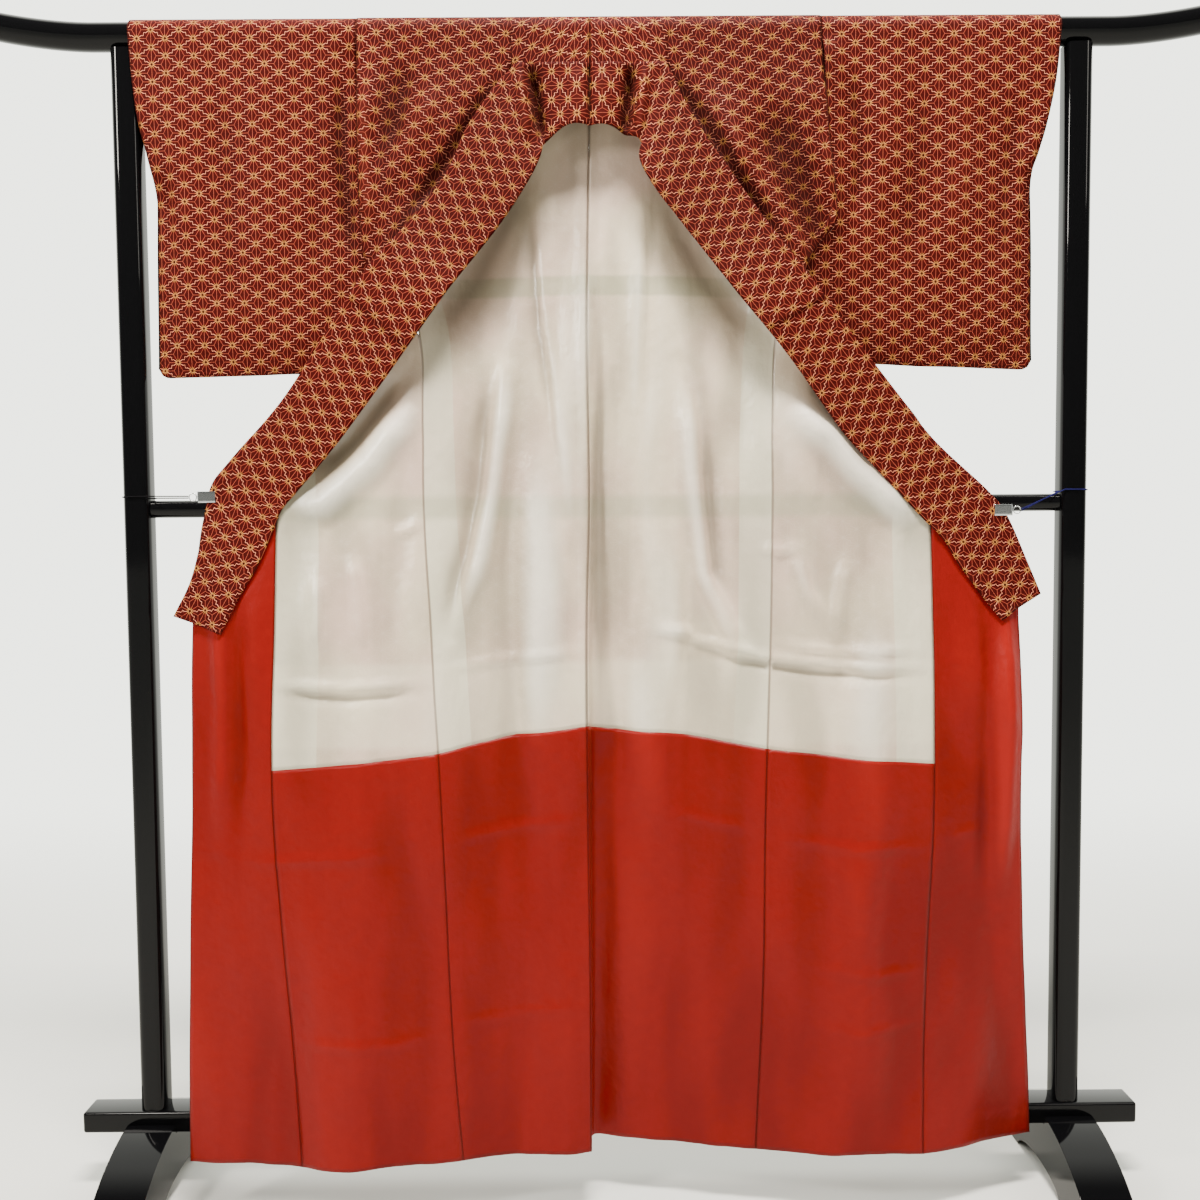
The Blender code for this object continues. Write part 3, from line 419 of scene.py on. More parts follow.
FRONT_CREASES = (
    (0.011, 0.011, ((-0.317, 1.555), (-0.32, 1.45), (-0.313, 1.3))),
    (0.006, 0.01, ((0.29, 1.555), (0.305, 1.45), (0.305, 1.35))),
    (-0.008, 0.012, ((-0.132, 1.542), (-0.202, 1.432), (-0.267, 1.332))),
    (-0.006, 0.02, ((-0.144, 1.4985), (-0.1986, 1.4102), (-0.2533, 1.3382))),
    (0.006, 0.018, ((-0.215, 1.53), (-0.26, 1.44), (-0.3, 1.37))),
    (-0.006, 0.014, ((-0.26, 1.56), (-0.27, 1.49), (-0.285, 1.43))),
    (0.0115, 0.014, ((0.1624, 1.5031), (0.1876, 1.4128), (0.2357, 1.331), (0.2787, 1.2726), (0.3259, 1.202))),
    (-0.0095, 0.024, ((0.2097, 1.5019), (0.2431, 1.4166), (0.2794, 1.3439), (0.3046, 1.2808))),
    (0.006, 0.012, ((0.256, 1.54), (0.275, 1.47), (0.298, 1.39))),
    (-0.009, 0.012, ((0.082, 1.55), (0.1427, 1.452), (0.204, 1.362), (0.257, 1.282))),
)
SLEEVE_CREASES = (
    (-0.011, 0.011, ((-0.352, 1.555), (-0.356, 1.43), (-0.342, 1.27))),
    (-0.007, 0.012, ((0.333, 1.555), (0.352, 1.43), (0.342, 1.33))),
    (-0.004, 0.02, ((-0.38, 1.58), (-0.385, 1.42), (-0.395, 1.25))),
    (0.0035, 0.022, ((-0.45, 1.58), (-0.455, 1.42), (-0.45, 1.22))),
    (-0.004, 0.024, ((-0.52, 1.55), (-0.51, 1.4), (-0.515, 1.2))),
    (0.004, 0.016, ((-0.59, 1.54), (-0.58, 1.43), (-0.56, 1.3))),
    (0.0045, 0.022, ((0.375, 1.58), (0.38, 1.43), (0.365, 1.3), (0.33, 1.22))),
    (-0.005, 0.024, ((0.43, 1.55), (0.425, 1.4), (0.4, 1.25))),
    (0.005, 0.022, ((0.5, 1.58), (0.49, 1.42), (0.46, 1.25))),
    (-0.005, 0.016, ((0.565, 1.52), (0.55, 1.4), (0.535, 1.25))),
    (0.004, 0.01, ((0.595, 1.5), (0.575, 1.41), (0.56, 1.32))),
)
# Where the collar's edge keeps the light off the fronts: depth of the shade, half width, path.
COLLAR_SHADES = (
    (-0.01, 0.014, ((-0.124, 1.557), (-0.132, 1.537), (-0.202, 1.429), (-0.271, 1.322), (-0.333, 1.222))),
    (-0.011, 0.014,
     ((0.074, 1.566), (0.084, 1.549), (0.148, 1.457), (0.21, 1.367), (0.276, 1.272), (0.318, 1.204))),
    (-0.007, 0.026, ((-0.295, 1.57), (-0.292, 1.45), (-0.3, 1.33))),
    (-0.006, 0.026, ((0.256, 1.54), (0.265, 1.45), (0.285, 1.37))),
)
COLLAR_CREASES = (
    (-0.013, 0.0035, ((-0.018, 1.572), (-0.018, 1.51), (-0.0176, 1.46))),
    (0.005, 0.012, ((-0.033, 1.55), (-0.033, 1.5), (-0.033, 1.45))),
    (0.005, 0.012, ((-0.001, 1.55), (-0.001, 1.5), (-0.001, 1.45))),
    (-0.019, 0.0095, ((-0.096, 1.555), (-0.089, 1.5), (-0.082, 1.44))),
    (0.008, 0.007, ((-0.111, 1.55), (-0.106, 1.5), (-0.099, 1.44))),
    (-0.019, 0.0095, ((0.04, 1.555), (0.0345, 1.5), (0.028, 1.44))),
    (0.008, 0.007, ((0.056, 1.55), (0.052, 1.5), (0.047, 1.44))),
)

# The share of a crease over which each of its ends fades, and what is left of it at the very end.
CREASE_FADE = 0.25
CREASE_END = 0.15

# The line down which the collar lies: its top, how far across it starts, and how it slopes.
COLLAR_LINE_Z = 1.47
COLLAR_LINE_X = 0.05
COLLAR_LINE_DOWN = 0.65
COLLAR_LINE_ACROSS = 0.76
# How far below that line the cloth starts to hang free, and over how far.
FREE_FROM = 0.05
FREE_FADE = 0.10

# Folds of hanging cloth: how close they come across and down, seed, lift, and how far forward they come.
LONG_FOLDS = (10, 1.8, 7.0, 0.12, 0.028)
SHORT_FOLDS = (27, 6.5, 2.0, 0.2, 0.0070)
FOLD_SOFTNESS = 0.08
# Below these heights the folds keep this share of their depth.
LOW_FOLD_SHARE = 0.6
LOW_FOLDS_Z = 0.50
LOW_FOLDS_FADE = 0.25
# The folds end under this height. This far forward, cloth counts as neither trough nor ridge, and takes
# neither painted shade nor painted highlight.
FOLDS_TOP = 1.50
FOLD_MEAN = 0.006
# Slow unevenness: how close it comes, how far it goes, seed.
BODY_RIPPLES = ((13, 0.0050, 3.0), (34, 0.0013, 9.0))
SLEEVE_RIPPLE = (15, 0.0060, 5.0)
SLEEVE_RIPPLE_TOP = 1.56
SLEEVE_RIPPLE_FADE = 0.1
RIPPLE_DOWN = 0.35

# The grids that the cloth is laid in.
CELL = 0.006
LOW_ROWS_TOP = 0.63
ROWS_ABOVE_BORDER = 160
COLUMN_CELLS = 5
OKUMI_COLUMN_CELLS = 8
RAIL_ROWS = 14
NECK_ROWS = 9
SLEEVE_CELLS = (50, 76)
COLLAR_CELLS = 26
COLLAR_ROWS = 620
TURN_SMOOTHING = 60

# The border of the white lining and the red: its height at the overlap seam, its rise, and how it curves.
BORDER_Z = 0.606
BORDER_RISE = 0.053
BORDER_CURVE = 1.2
# How far from the centre seam to the overlap seam the side seam stands.
SIDE_SHARE = 0.55

# The pattern is pulled askew: the angle, how far down the back that fades, and where it starts on the fronts.
SKEW = radians(12.0)
SKEW_BACK = 0.35
SKEW_FRONT_LOW = 1.05
SKEW_FRONT_RISE = 0.2

# Widths that keep the stitch lines in place on the pieces whose own width changes.
NECK_WIDTH = 0.1065
NECK_CLEAR = 0.12
SLEEVE_WIDTH = 0.28
COLLAR_WIDTH = 0.1
COLLAR_CLEAR = 0.02
# Where the line of sight on the collar starts.
VIEWER_Y = -1.0


def crease_depth(points, creases):
    """How far each point of an array is drawn towards the viewer by a table of creases."""
    depth = np.zeros(len(points))
    flat = points[:, (0, 2)]
    for height, half_width, path in creases:
        path = np.array(path)
        lengths = np.hypot(*np.diff(path, axis=0).T)
        total, run = lengths.sum(), 0.0
        nearest = np.full(len(flat), 1e9)
        place = np.zeros(len(flat))
        for k, length in enumerate(lengths):
            way = (path[k + 1] - path[k]) / length
            along = np.clip((flat - path[k]) @ way, 0, length)
            gap = np.hypot(*(flat - path[k] - np.outer(along, way)).T)
            closer = gap < nearest
            nearest[closer] = gap[closer]
            place[closer] = (run + along[closer]) / total
            run += length
        fade = np.clip(np.minimum(place, 1 - place) / CREASE_FADE, CREASE_END, 1)
        depth += height * fade * np.exp(-((nearest / half_width) ** 2))
    return depth


def ripple(point, scale, amount, seed):
    """A slow, even unevenness of hanging cloth, longer down than across."""
    return amount * noise.noise(Vector((point.x * scale, seed, point.z * scale * RIPPLE_DOWN)))


def soft_floor(height):
    """A height with everything well below nought eased flat."""
    return 0.5 * (height + hypot(height, FOLD_SOFTNESS))


def forward_fold(point, folds):
    """How far one kind of fold comes forward at a point."""
    across, down, seed, lift, forward = folds
    return forward * soft_floor(noise.noise(Vector((point.x * across, seed, point.z * down))) + lift)


def drape(point):
    """How free of the collar the cloth hangs at a point, and how far its long soft folds come forward."""
    beside = (abs(point.x) - COLLAR_LINE_X) * COLLAR_LINE_ACROSS
    below_collar = (COLLAR_LINE_Z - point.z) * COLLAR_LINE_DOWN - beside
    free = min(1.0, max(0.0, (below_collar - FREE_FROM) / FREE_FADE))
    high = min(1.0, max(0.0, (point.z - LOW_FOLDS_Z) / LOW_FOLDS_FADE))
    share = LOW_FOLD_SHARE + (1 - LOW_FOLD_SHARE) * high
    return free, share * (forward_fold(point, LONG_FOLDS) + forward_fold(point, SHORT_FOLDS))


def in_scene(name, data):
    """A new object in the scene."""
    obj = bpy.data.objects.new(name, data)
    bpy.context.scene.collection.objects.link(obj)
    return obj


def mesh_object(name, bm, material):
    """A new object in the scene that takes up a bmesh, in one material."""
    mesh = bpy.data.meshes.new(name)
    bm.to_mesh(mesh)
    bm.free()
    mesh.materials.append(material)
    return in_scene(name, mesh)


class Cloth:
    """A surface of named panels, each laid as a grid, that all pieces of one garment part share."""

    def __init__(self):
        self.bm = bmesh.new()
        self.panel = self.bm.faces.layers.int.new("panel")
        self.pattern = self.bm.loops.layers.uv.new("cloth")
        self.edge = self.bm.loops.layers.uv.new("edge")
        # How far each point came forward in a fold, plus the collar's painted shade; the finishes paint shade in
        # troughs and a highlight on ridges from it.
        self.fold = self.bm.verts.layers.float.new("fold")
        self.names = []

    def lay(self, name, across, down, place, cut):
        """Lays a grid. place gives a point, and cut its place on the pattern and its distances from two seams."""
        if name not in self.names:
            self.names.append(name)
        number = self.names.index(name)
        made = bmesh.ops.create_grid(self.bm, x_segments=across, y_segments=down, size=1.0)
        verts = made["verts"]
        spot = {v: ((v.co.x + 1) / 2, (v.co.y + 1) / 2) for v in verts}
        faces = {f for v in verts for f in v.link_faces}
        values = {}
        for vert in verts:
            s, t = spot[vert]
            point = place(s, t)
            values[vert] = cut(s, t, point)
            vert.co = point
        for face in faces:
            face[self.panel] = number
            face.smooth = True
            for loop in face.loops:
                u, v, first, second = values[loop.vert]
                loop[self.pattern].uv = (u, v)
                loop[self.edge].uv = (first, second)
        return verts

    def sew(self):
        """Joins the panels where their points meet."""
        bmesh.ops.remove_doubles(self.bm, verts=self.bm.verts, dist=SEAM / 4)
        bmesh.ops.recalc_face_normals(self.bm, faces=self.bm.faces)
        self.bm.normal_update()

    def face_outward(self):
        """Turns the faces round if the surface's top looks down."""
        if max(self.bm.verts, key=lambda v: v.co.z).normal.z < 0:
            bmesh.ops.reverse_faces(self.bm, faces=self.bm.faces)
            self.bm.normal_update()

    def face_numbers(self, names):
        """The panel numbers of some panels."""
        return {self.names.index(name) for name in names}

    def points(self, names, test=None):
        """The points that lie in some panels alone and, where a test is given, whose height passes it."""
        chosen = self.face_numbers(names)
        return [
            v for v in self.bm.verts
            if all(f[self.panel] in chosen for f in v.link_faces) and (test is None or test(v.co.z))
        ]

    def press(self, verts, creases):
        """Presses creases into some points and keeps how far each came forward."""
        depth = crease_depth(np.array([v.co[:] for v in verts]), creases)
        for vert, way in zip(verts, depth):
            vert.co.y -= way
            vert[self.fold] += way

    def smooth(self, verts, times):
        """Eases some points."""
        for _ in range(times):
            bmesh.ops.smooth_vert(
                self.bm, verts=verts, factor=0.5, use_axis_x=True, use_axis_y=True, use_axis_z=True
            )

    def piece(self, name, names, middle, thickness, finish):
        """One tailored piece: some panels, moved out to the middle of its cloth and given its thickness."""
        self.bm.normal_update()
        chosen = self.face_numbers(names)
        copy = self.bm.copy()
        away = copy.verts.layers.float_vector.new("away")
        for vert in copy.verts:
            vert[away] = vert.normal
        panel = copy.faces.layers.int["panel"]
        others = [f for f in copy.faces if f[panel] not in chosen]
        bmesh.ops.delete(copy, geom=others, context="FACES")
        for vert in copy.verts:
            vert.co += vert[away] * middle
            if vert.is_boundary:
                own = sum((f.calc_center_median() for f in vert.link_faces), Vector()) / len(vert.link_faces)
                vert.co += (own - vert.co).normalized() * SEAM_EASE
        obj = mesh_object(name, copy, finish)
        obj.data.shade_smooth()
        wall = obj.modifiers.new("wall", "SOLIDIFY")
        wall.thickness = thickness
        wall.offset = 0.0
        return obj


def dress(obj, node, slot):
    """Hangs a piece from the root so that it moves with it, and hides the imported part that it stands for. The
    slot is not used.
    """
    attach(obj, "root")
    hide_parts(node)


def lines_at(side, height, columns):
    """Where some of a half's lines stand at a height, as rows of (column, across, depth)."""
    return tuple((column, *smooth_curve(LINES[side][name], height)) for column, name in columns)


@lru_cache(maxsize=None)
def back_keys(side, height):
    """The back's seam and fold lines at a height."""
    columns = ((0, "centre"), (2, "pleat"), (NECK_COLUMNS, "back"), (BACK_COLUMNS, "side"))
    return lines_at(side, height, columns)


@lru_cache(maxsize=None)
def front_keys(side, height):
    """The front's seam and fold lines at a height."""
    first = "side" if height <= SIDE_SEAM_TOP else "front_side"
    last = "okumi" if height <= LINES[side]["okumi"][-1][0] else "edge"
    return lines_at(side, height, ((0, first), (FRONT_COLUMNS / 2, "front"), (FRONT_COLUMNS, last)))


@lru_cache(maxsize=None)
def okumi_keys(side, height):
    """The overlap panel's two edges at a height."""
    return lines_at(side, height, ((0, "okumi"), (OKUMI_COLUMNS, "edge")))


def border(share):
    """The height where the white lining meets the red, from the centre seam to the overlap seam."""
    return BORDER_Z + BORDER_RISE * (1 - share) ** BORDER_CURVE


def hang(keys, column, height):
    """The point of a hanging panel at a column and height."""
    x, y = smooth_curve(keys, column)
    return Vector((x, y, height))


def along_warp(point, behind):
    """The place along the cloth's length, up the front, over the rail and down the back."""
    if point.z > RAIL_Z:
        return RAIL_Z + DRAPE_R * atan2(point.z - RAIL_Z, -point.y)
    if behind:
        return 2 * RAIL_Z + DRAPE_R * pi - point.z
    return point.z


def over_rail_point(x, t):
    """A point of cloth bent over the rail, from its back to its front."""
    return Vector((x, DRAPE_R * cos(pi * t), RAIL_Z + DRAPE_R * sin(pi * t)))


def body_pattern(side, behind, point, share):
    """The pattern place of a body point. The fronts are pulled askew near the neck."""
    v = along_warp(point, behind)
    turn = SKEW * (1 if side == "left" else -1)
    over = v - (RAIL_Z + DRAPE_R * pi)
    if behind or over > -DRAPE_R * pi / 2:
        skew = ease(1 - over / SKEW_BACK) * share
    else:
        skew = ease((point.z - SKEW_FRONT_LOW) / SKEW_FRONT_RISE) * share
    pivot_x = ARMHOLE_X[side]
    x, z = point.x - pivot_x, v - RAIL_Z
    turned = (x * cos(turn) - z * sin(turn), x * sin(turn) + z * cos(turn))
    return (
        pivot_x + x + (turned[0] - x) * skew,
        RAIL_Z + z + (turned[1] - z) * skew,
    )


def lay_half(cloth, side):
    """Lays one half of the body: back, shoulder, front and overlap panel."""
    low_rows, high_rows = round((LOW_ROWS_TOP - HEM_Z) / CELL), ROWS_ABOVE_BORDER

    def cut(keys_at, behind, s, point):
        keys = keys_at(side, round(min(max(point.z, HEM_Z), RAIL_Z), 3))
        wide = hypot(keys[-1][1] - keys[0][1], keys[-1][2] - keys[0][2])
        share = min(1.0, s * BACK_COLUMNS / NECK_COLUMNS) if behind else 1.0
        return (*body_pattern(side, behind, point, share), s * wide, (1 - s) * wide)

    def lay_part(name, keys_at, columns, first_share, last_share):
        """Lays the red and the white part of a back or front, below and above the border."""
        behind = keys_at is back_keys

        def border_at(s):
            return border(first_share + (last_share - first_share) * s)

        def low(s, t):
            z = HEM_Z + t * (border_at(s) - HEM_Z)
            return hang(keys_at(side, round(z, 4)), columns * s, z)

        def high(s, t):
            start = border_at(s)
            z = start + t * (RAIL_Z - start)
            point = hang(keys_at(side, round(z, 4)), columns * s, z)
            if not behind:
                meet = smooth_curve(back_keys(side, RAIL_Z), BACK_COLUMNS - FRONT_COLUMNS * s)
                near = ease((z - SHOULDER_LOW) / (RAIL_Z - SHOULDER_LOW))
                point.x += (meet[0] - point.x) * near
                point.y += (-DRAPE_R - point.y) * near
            return point

        for part, rows, place in (("low", low_rows, low), ("high", high_rows, high)):
            cloth.lay(
                f"{name}_{part}_{side}", columns * COLUMN_CELLS, rows, place,
                lambda s, t, point: cut(keys_at, behind, s, point),
            )

    def over_rail(s, t):
        return over_rail_point(smooth_curve(back_keys(side, RAIL_Z), BACK_COLUMNS * s)[0], t)

    def down_neck(s, t):
        x = smooth_curve(back_keys(side, RAIL_Z), NECK_COLUMNS * s)[0]
        return Vector((x, -DRAPE_R, RAIL_Z + (NECK_Z - RAIL_Z) * t))

    lay_part("back", back_keys, BACK_COLUMNS, 0, SIDE_SHARE)
    cloth.lay(
        f"back_high_{side}", BACK_COLUMNS * COLUMN_CELLS, RAIL_ROWS, over_rail,
        lambda s, t, point: cut(back_keys, True, s, point),
    )
    cloth.lay(
        f"back_high_{side}", NECK_COLUMNS * COLUMN_CELLS, NECK_ROWS, down_neck,
        lambda s, t, point: (*body_pattern(side, False, point, s), s * NECK_WIDTH, NECK_CLEAR),
    )
    lay_part("front", front_keys, FRONT_COLUMNS, SIDE_SHARE, 1)
    top_share = (OKUMI_TOP[side] - border(1)) / (RAIL_Z - border(1))
    okumi_rows = round(top_share * high_rows)

    def okumi(s, t):
        row = round(t * (low_rows + okumi_rows))
        if row <= low_rows:
            z = HEM_Z + row / low_rows * (border(1) - HEM_Z)
        else:
            z = border(1) + (row - low_rows) / high_rows * (RAIL_Z - border(1))
        return hang(okumi_keys(side, round(z, 4)), OKUMI_COLUMNS * s, z)

    cloth.lay(
        f"okumi_{side}", OKUMI_COLUMNS * OKUMI_COLUMN_CELLS, low_rows + okumi_rows, okumi,
        lambda s, t, point: cut(okumi_keys, False, s, point),
    )


def lay_body():
    """The whole body's shared surface, creased and eased, with its faces outward."""
    cloth = Cloth()
    lay_half(cloth, "left")
    lay_half(cloth, "right")
    cloth.sew()
    cloth.face_outward()
    inside = [name for name in cloth.names if "front_high" not in name]
    fronts = [name for name in cloth.names if "front_high" in name]
    cloth.press(cloth.points(inside), INSIDE_CREASES)
    cloth.press(cloth.points(fronts, lambda z: z < FRONT_SPLIT), INSIDE_CREASES)
    high_fronts = cloth.points(fronts, lambda z: z > FRONT_SPLIT)
    turned = cloth.points(fronts, lambda z: TURN_HEIGHTS[0] < z < TURN_HEIGHTS[1])
    cloth.smooth([v for v in turned if not v.is_boundary], TURN_SMOOTHING)
    cloth.press(high_fronts, FRONT_CREASES)
    # Painted shade beside the collar's edge: its depth goes into the fold values alone, and the cloth does not
    # move.
    shade = crease_depth(np.array([v.co[:] for v in high_fronts]), COLLAR_SHADES)
    for vert, depth in zip(high_fronts, shade):
        vert[cloth.fold] += depth
    for vert in cloth.bm.verts:
        if vert.co.z < FOLDS_TOP:
            vert.co.y += sum(ripple(vert.co, *kind) for kind in BODY_RIPPLES)
            free, forward = drape(vert.co)
            vert.co.y -= free * forward
            vert[cloth.fold] += free * (forward - FOLD_MEAN)
    cloth.bm.normal_update()
    return cloth


def sleeve_place(side, across, height_share, front):
    """A point of a sleeve's front or back wall. height_share runs from the bottom seam to the rail."""
    inner_low, outer_low = SLEEVE_BOTTOM[side]
    low = inner_low + (outer_low - inner_low) * across
    height = low + (RAIL_Z - low) * height_share
    armhole = smooth_curve(LINES[side]["front_side" if front else "side"], max(height, ARMHOLE_LOW))[0]
    if front and height < ARMHOLE_LOW:
        armhole = smooth_curve(SLEEVE_INNER[side], height)[0]
    cuff = smooth_curve(CUFF_LINES[side], height)[0]
    outward = -1 if side == "left" else 1
    x = armhole + outward * SEAM / 4 + (cuff - armhole) * across
    corner = SLEEVE_CORNER_R - abs(cuff - x)
    if corner > 0 and height < low + SLEEVE_CORNER_R:
        rise = SLEEVE_CORNER_R - sqrt(max(SLEEVE_CORNER_R**2 - corner**2, 0.0))
        height += rise * (1 - (height - low) / SLEEVE_CORNER_R)
    fullness = SLEEVE_BELLY * ease(height_share * SLEEVE_BELLY_RISE) + (1 - SLEEVE_BELLY) * height_share
    half = SLEEVE_MOUTH + (DRAPE_R - SLEEVE_MOUTH) * min(1.0, fullness)
    half *= min(1.0, height_share * SLEEVE_MOUTH_RISE)
    if front:
        roll = SLEEVE_ROLL[side] * ease((ROLL_TOP - height) / ROLL_FADE)
        half += roll * ease(height_share * ROLL_RISE) * max(0.0, 1 - across / ROLL_SHARE) ** 2
    shut = ease((CUFF_OPENING_LOW + CUFF_FADE / 2 - height) / CUFF_FADE)
    half *= 1 - ease((across - CUFF_SHARE) / (1 - CUFF_SHARE)) * shut
    return Vector((x, -half if front else half, height))


def lay_sleeve(side):
    """One sleeve's surface: up its front, over the rail and down its back."""
    cloth = Cloth()
    across, walls = SLEEVE_CELLS

    def cut(behind):
        def places(s, t, point):
            return (point.x, along_warp(point, behind), s * SLEEVE_WIDTH, (1 - s) * SLEEVE_WIDTH)
        return places

    def over_rail(s, t):
        return over_rail_point(sleeve_place(side, s, 1.0, False).x, t)

    cloth.lay("sleeve", across, walls, lambda s, t: sleeve_place(side, s, t, True), cut(False))
    cloth.lay("sleeve", across, RAIL_ROWS, over_rail, cut(True))
    cloth.lay("sleeve", across, walls, lambda s, t: sleeve_place(side, s, t, False), cut(True))
    cloth.sew()
    cloth.face_outward()
    cloth.press([v for v in cloth.bm.verts if v.normal.y < 0 and v.co.z < RAIL_Z], SLEEVE_CREASES)
    for vert in cloth.bm.verts:
        if vert.co.z < SLEEVE_RIPPLE_TOP:
            below = min(1.0, (SLEEVE_RIPPLE_TOP - vert.co.z) / SLEEVE_RIPPLE_FADE)
            vert.co.y += ripple(vert.co, *SLEEVE_RIPPLE) * below
    cloth.bm.normal_update()
    return cloth


def beside_and_along(step, way):
    """A flat step as how far it goes to the side of a way, and how far along it."""
    return Vector((step.x * way.y - step.y * way.x, step.dot(way)))


def collar_map(middle, way_of):
    """The pattern place of each point of the collar's middle line, which the pattern follows as it runs."""
    places = [Vector((0.0, 0.0))]
    for k in range(len(middle) - 1):
        places.append(places[-1] + beside_and_along(middle[k + 1] - middle[k], way_of(k)))
    return places


def lay_collar(body):
    """The collar's surface, pushed forward wherever the cloth behind it stands forward."""
    behind = BVHTree.FromBMesh(body.bm)
    table = tuple((k, *row) for k, row in enumerate(COLLAR))
    last = len(COLLAR) - 1
    straight = {
        "left": Vector((cos(COLLAR_GRAIN), sin(COLLAR_GRAIN))),
        "neck": Vector((1.0, 0.0)),
        "right": Vector((cos(COLLAR_GRAIN), -sin(COLLAR_GRAIN))),
    }

    @lru_cache(maxsize=None)
    def row_at(step):
        return smooth_curve(table, step)

    line = [row_at(last * k / COLLAR_ROWS) for k in range(COLLAR_ROWS + 1)]
    middle = [Vector(((r[0] + r[2]) / 2, (r[1] + r[3]) / 2)) for r in line]

    def way_of(name, k):
        row = k / COLLAR_ROWS * last
        if name == "neck" or COLLAR_END_ROWS < row < last - COLLAR_END_ROWS:
            return straight[name]
        local = middle[min(k + COLLAR_REACH, COLLAR_ROWS)] - middle[max(k - COLLAR_REACH, 0)]
        near_end = COLLAR_END_ROWS - row if name == "left" else row - last + COLLAR_END_ROWS
        share = ease(near_end / COLLAR_TURN_ROWS) * COLLAR_TURN_SHARE
        return straight[name].lerp(local.normalized(), share).normalized()

    maps = {name: collar_map(middle, lambda k, name=name: way_of(name, k)) for name in straight}

    def place(s, t, start, end):
        sewn_x, sewn_z, free_x, free_z = row_at(last * (start + (end - start) * t))
        lines = LEFT_LINES if sewn_x < LEFT_LINES["centre"][-1][1] else RIGHT_LINES
        edge_depth = smooth_curve(lines["edge"], sewn_z)[1]
        at_neck = ease((sewn_z - NECK_TURN_Z) / NECK_TURN_FADE)
        sewn_z += NECK_TURN_RISE * at_neck * (1 - s) ** 3
        x = sewn_x + (free_x - sewn_x) * s
        z = sewn_z + (free_z - sewn_z) * s
        depth = edge_depth - COLLAR_LIFT * (1 - at_neck) - NECK_TURN_LIFT * at_neck - COLLAR_FREE_LIFT * s
        _, _, _, way = behind.ray_cast(Vector((x, VIEWER_Y, z)), Vector((0, 1, 0)))
        if way is not None:
            depth = min(depth, way + VIEWER_Y - COLLAR_LIFT)
        return Vector((x, depth, z))

    def cut(s, t, point, start, end, name):
        k = min(round((start + (end - start) * t) * COLLAR_ROWS), COLLAR_ROWS)
        off = Vector((point.x, point.z)) - middle[k]
        u, v = maps[name][k] + beside_and_along(off, way_of(name, k))
        return (u, v, COLLAR_CLEAR + s * COLLAR_WIDTH, COLLAR_CLEAR + (1 - s) * COLLAR_WIDTH)

    cloth = Cloth()
    steps = COLLAR_STEPS * last
    spans = (
        ("left_end", 0.0, OVER_COLLAR_FIRST / steps, "left"),
        ("middle_left", OVER_COLLAR_FIRST / steps, NECK_FIRST / last, "left"),
        ("middle_neck", NECK_FIRST / last, NECK_LAST / last, "neck"),
        ("middle_right", NECK_LAST / last, OVER_COLLAR_LAST / steps, "right"),
        ("right_end", OVER_COLLAR_LAST / steps, 1.0, "right"),
    )
    for name, start, end, part in spans:
        cloth.lay(
            name, COLLAR_CELLS, round((end - start) * COLLAR_ROWS),
            lambda s, t, a=start, b=end: place(s, t, a, b),
            lambda s, t, point, a=start, b=end, part=part: cut(s, t, point, a, b, part),
        )
    cloth.sew()
    if sum((f.normal.y for f in cloth.bm.faces), 0.0) > 0:
        bmesh.ops.reverse_faces(cloth.bm, faces=cloth.bm.faces)
    for _ in range(COLLAR_SMOOTHING):
        bmesh.ops.smooth_vert(
            cloth.bm, verts=[v for v in cloth.bm.verts if not v.is_boundary], factor=0.5,
            use_axis_x=False, use_axis_y=True, use_axis_z=False,
        )
    cloth.press(cloth.bm.verts[:], COLLAR_CREASES)
    cloth.bm.normal_update()
    return cloth


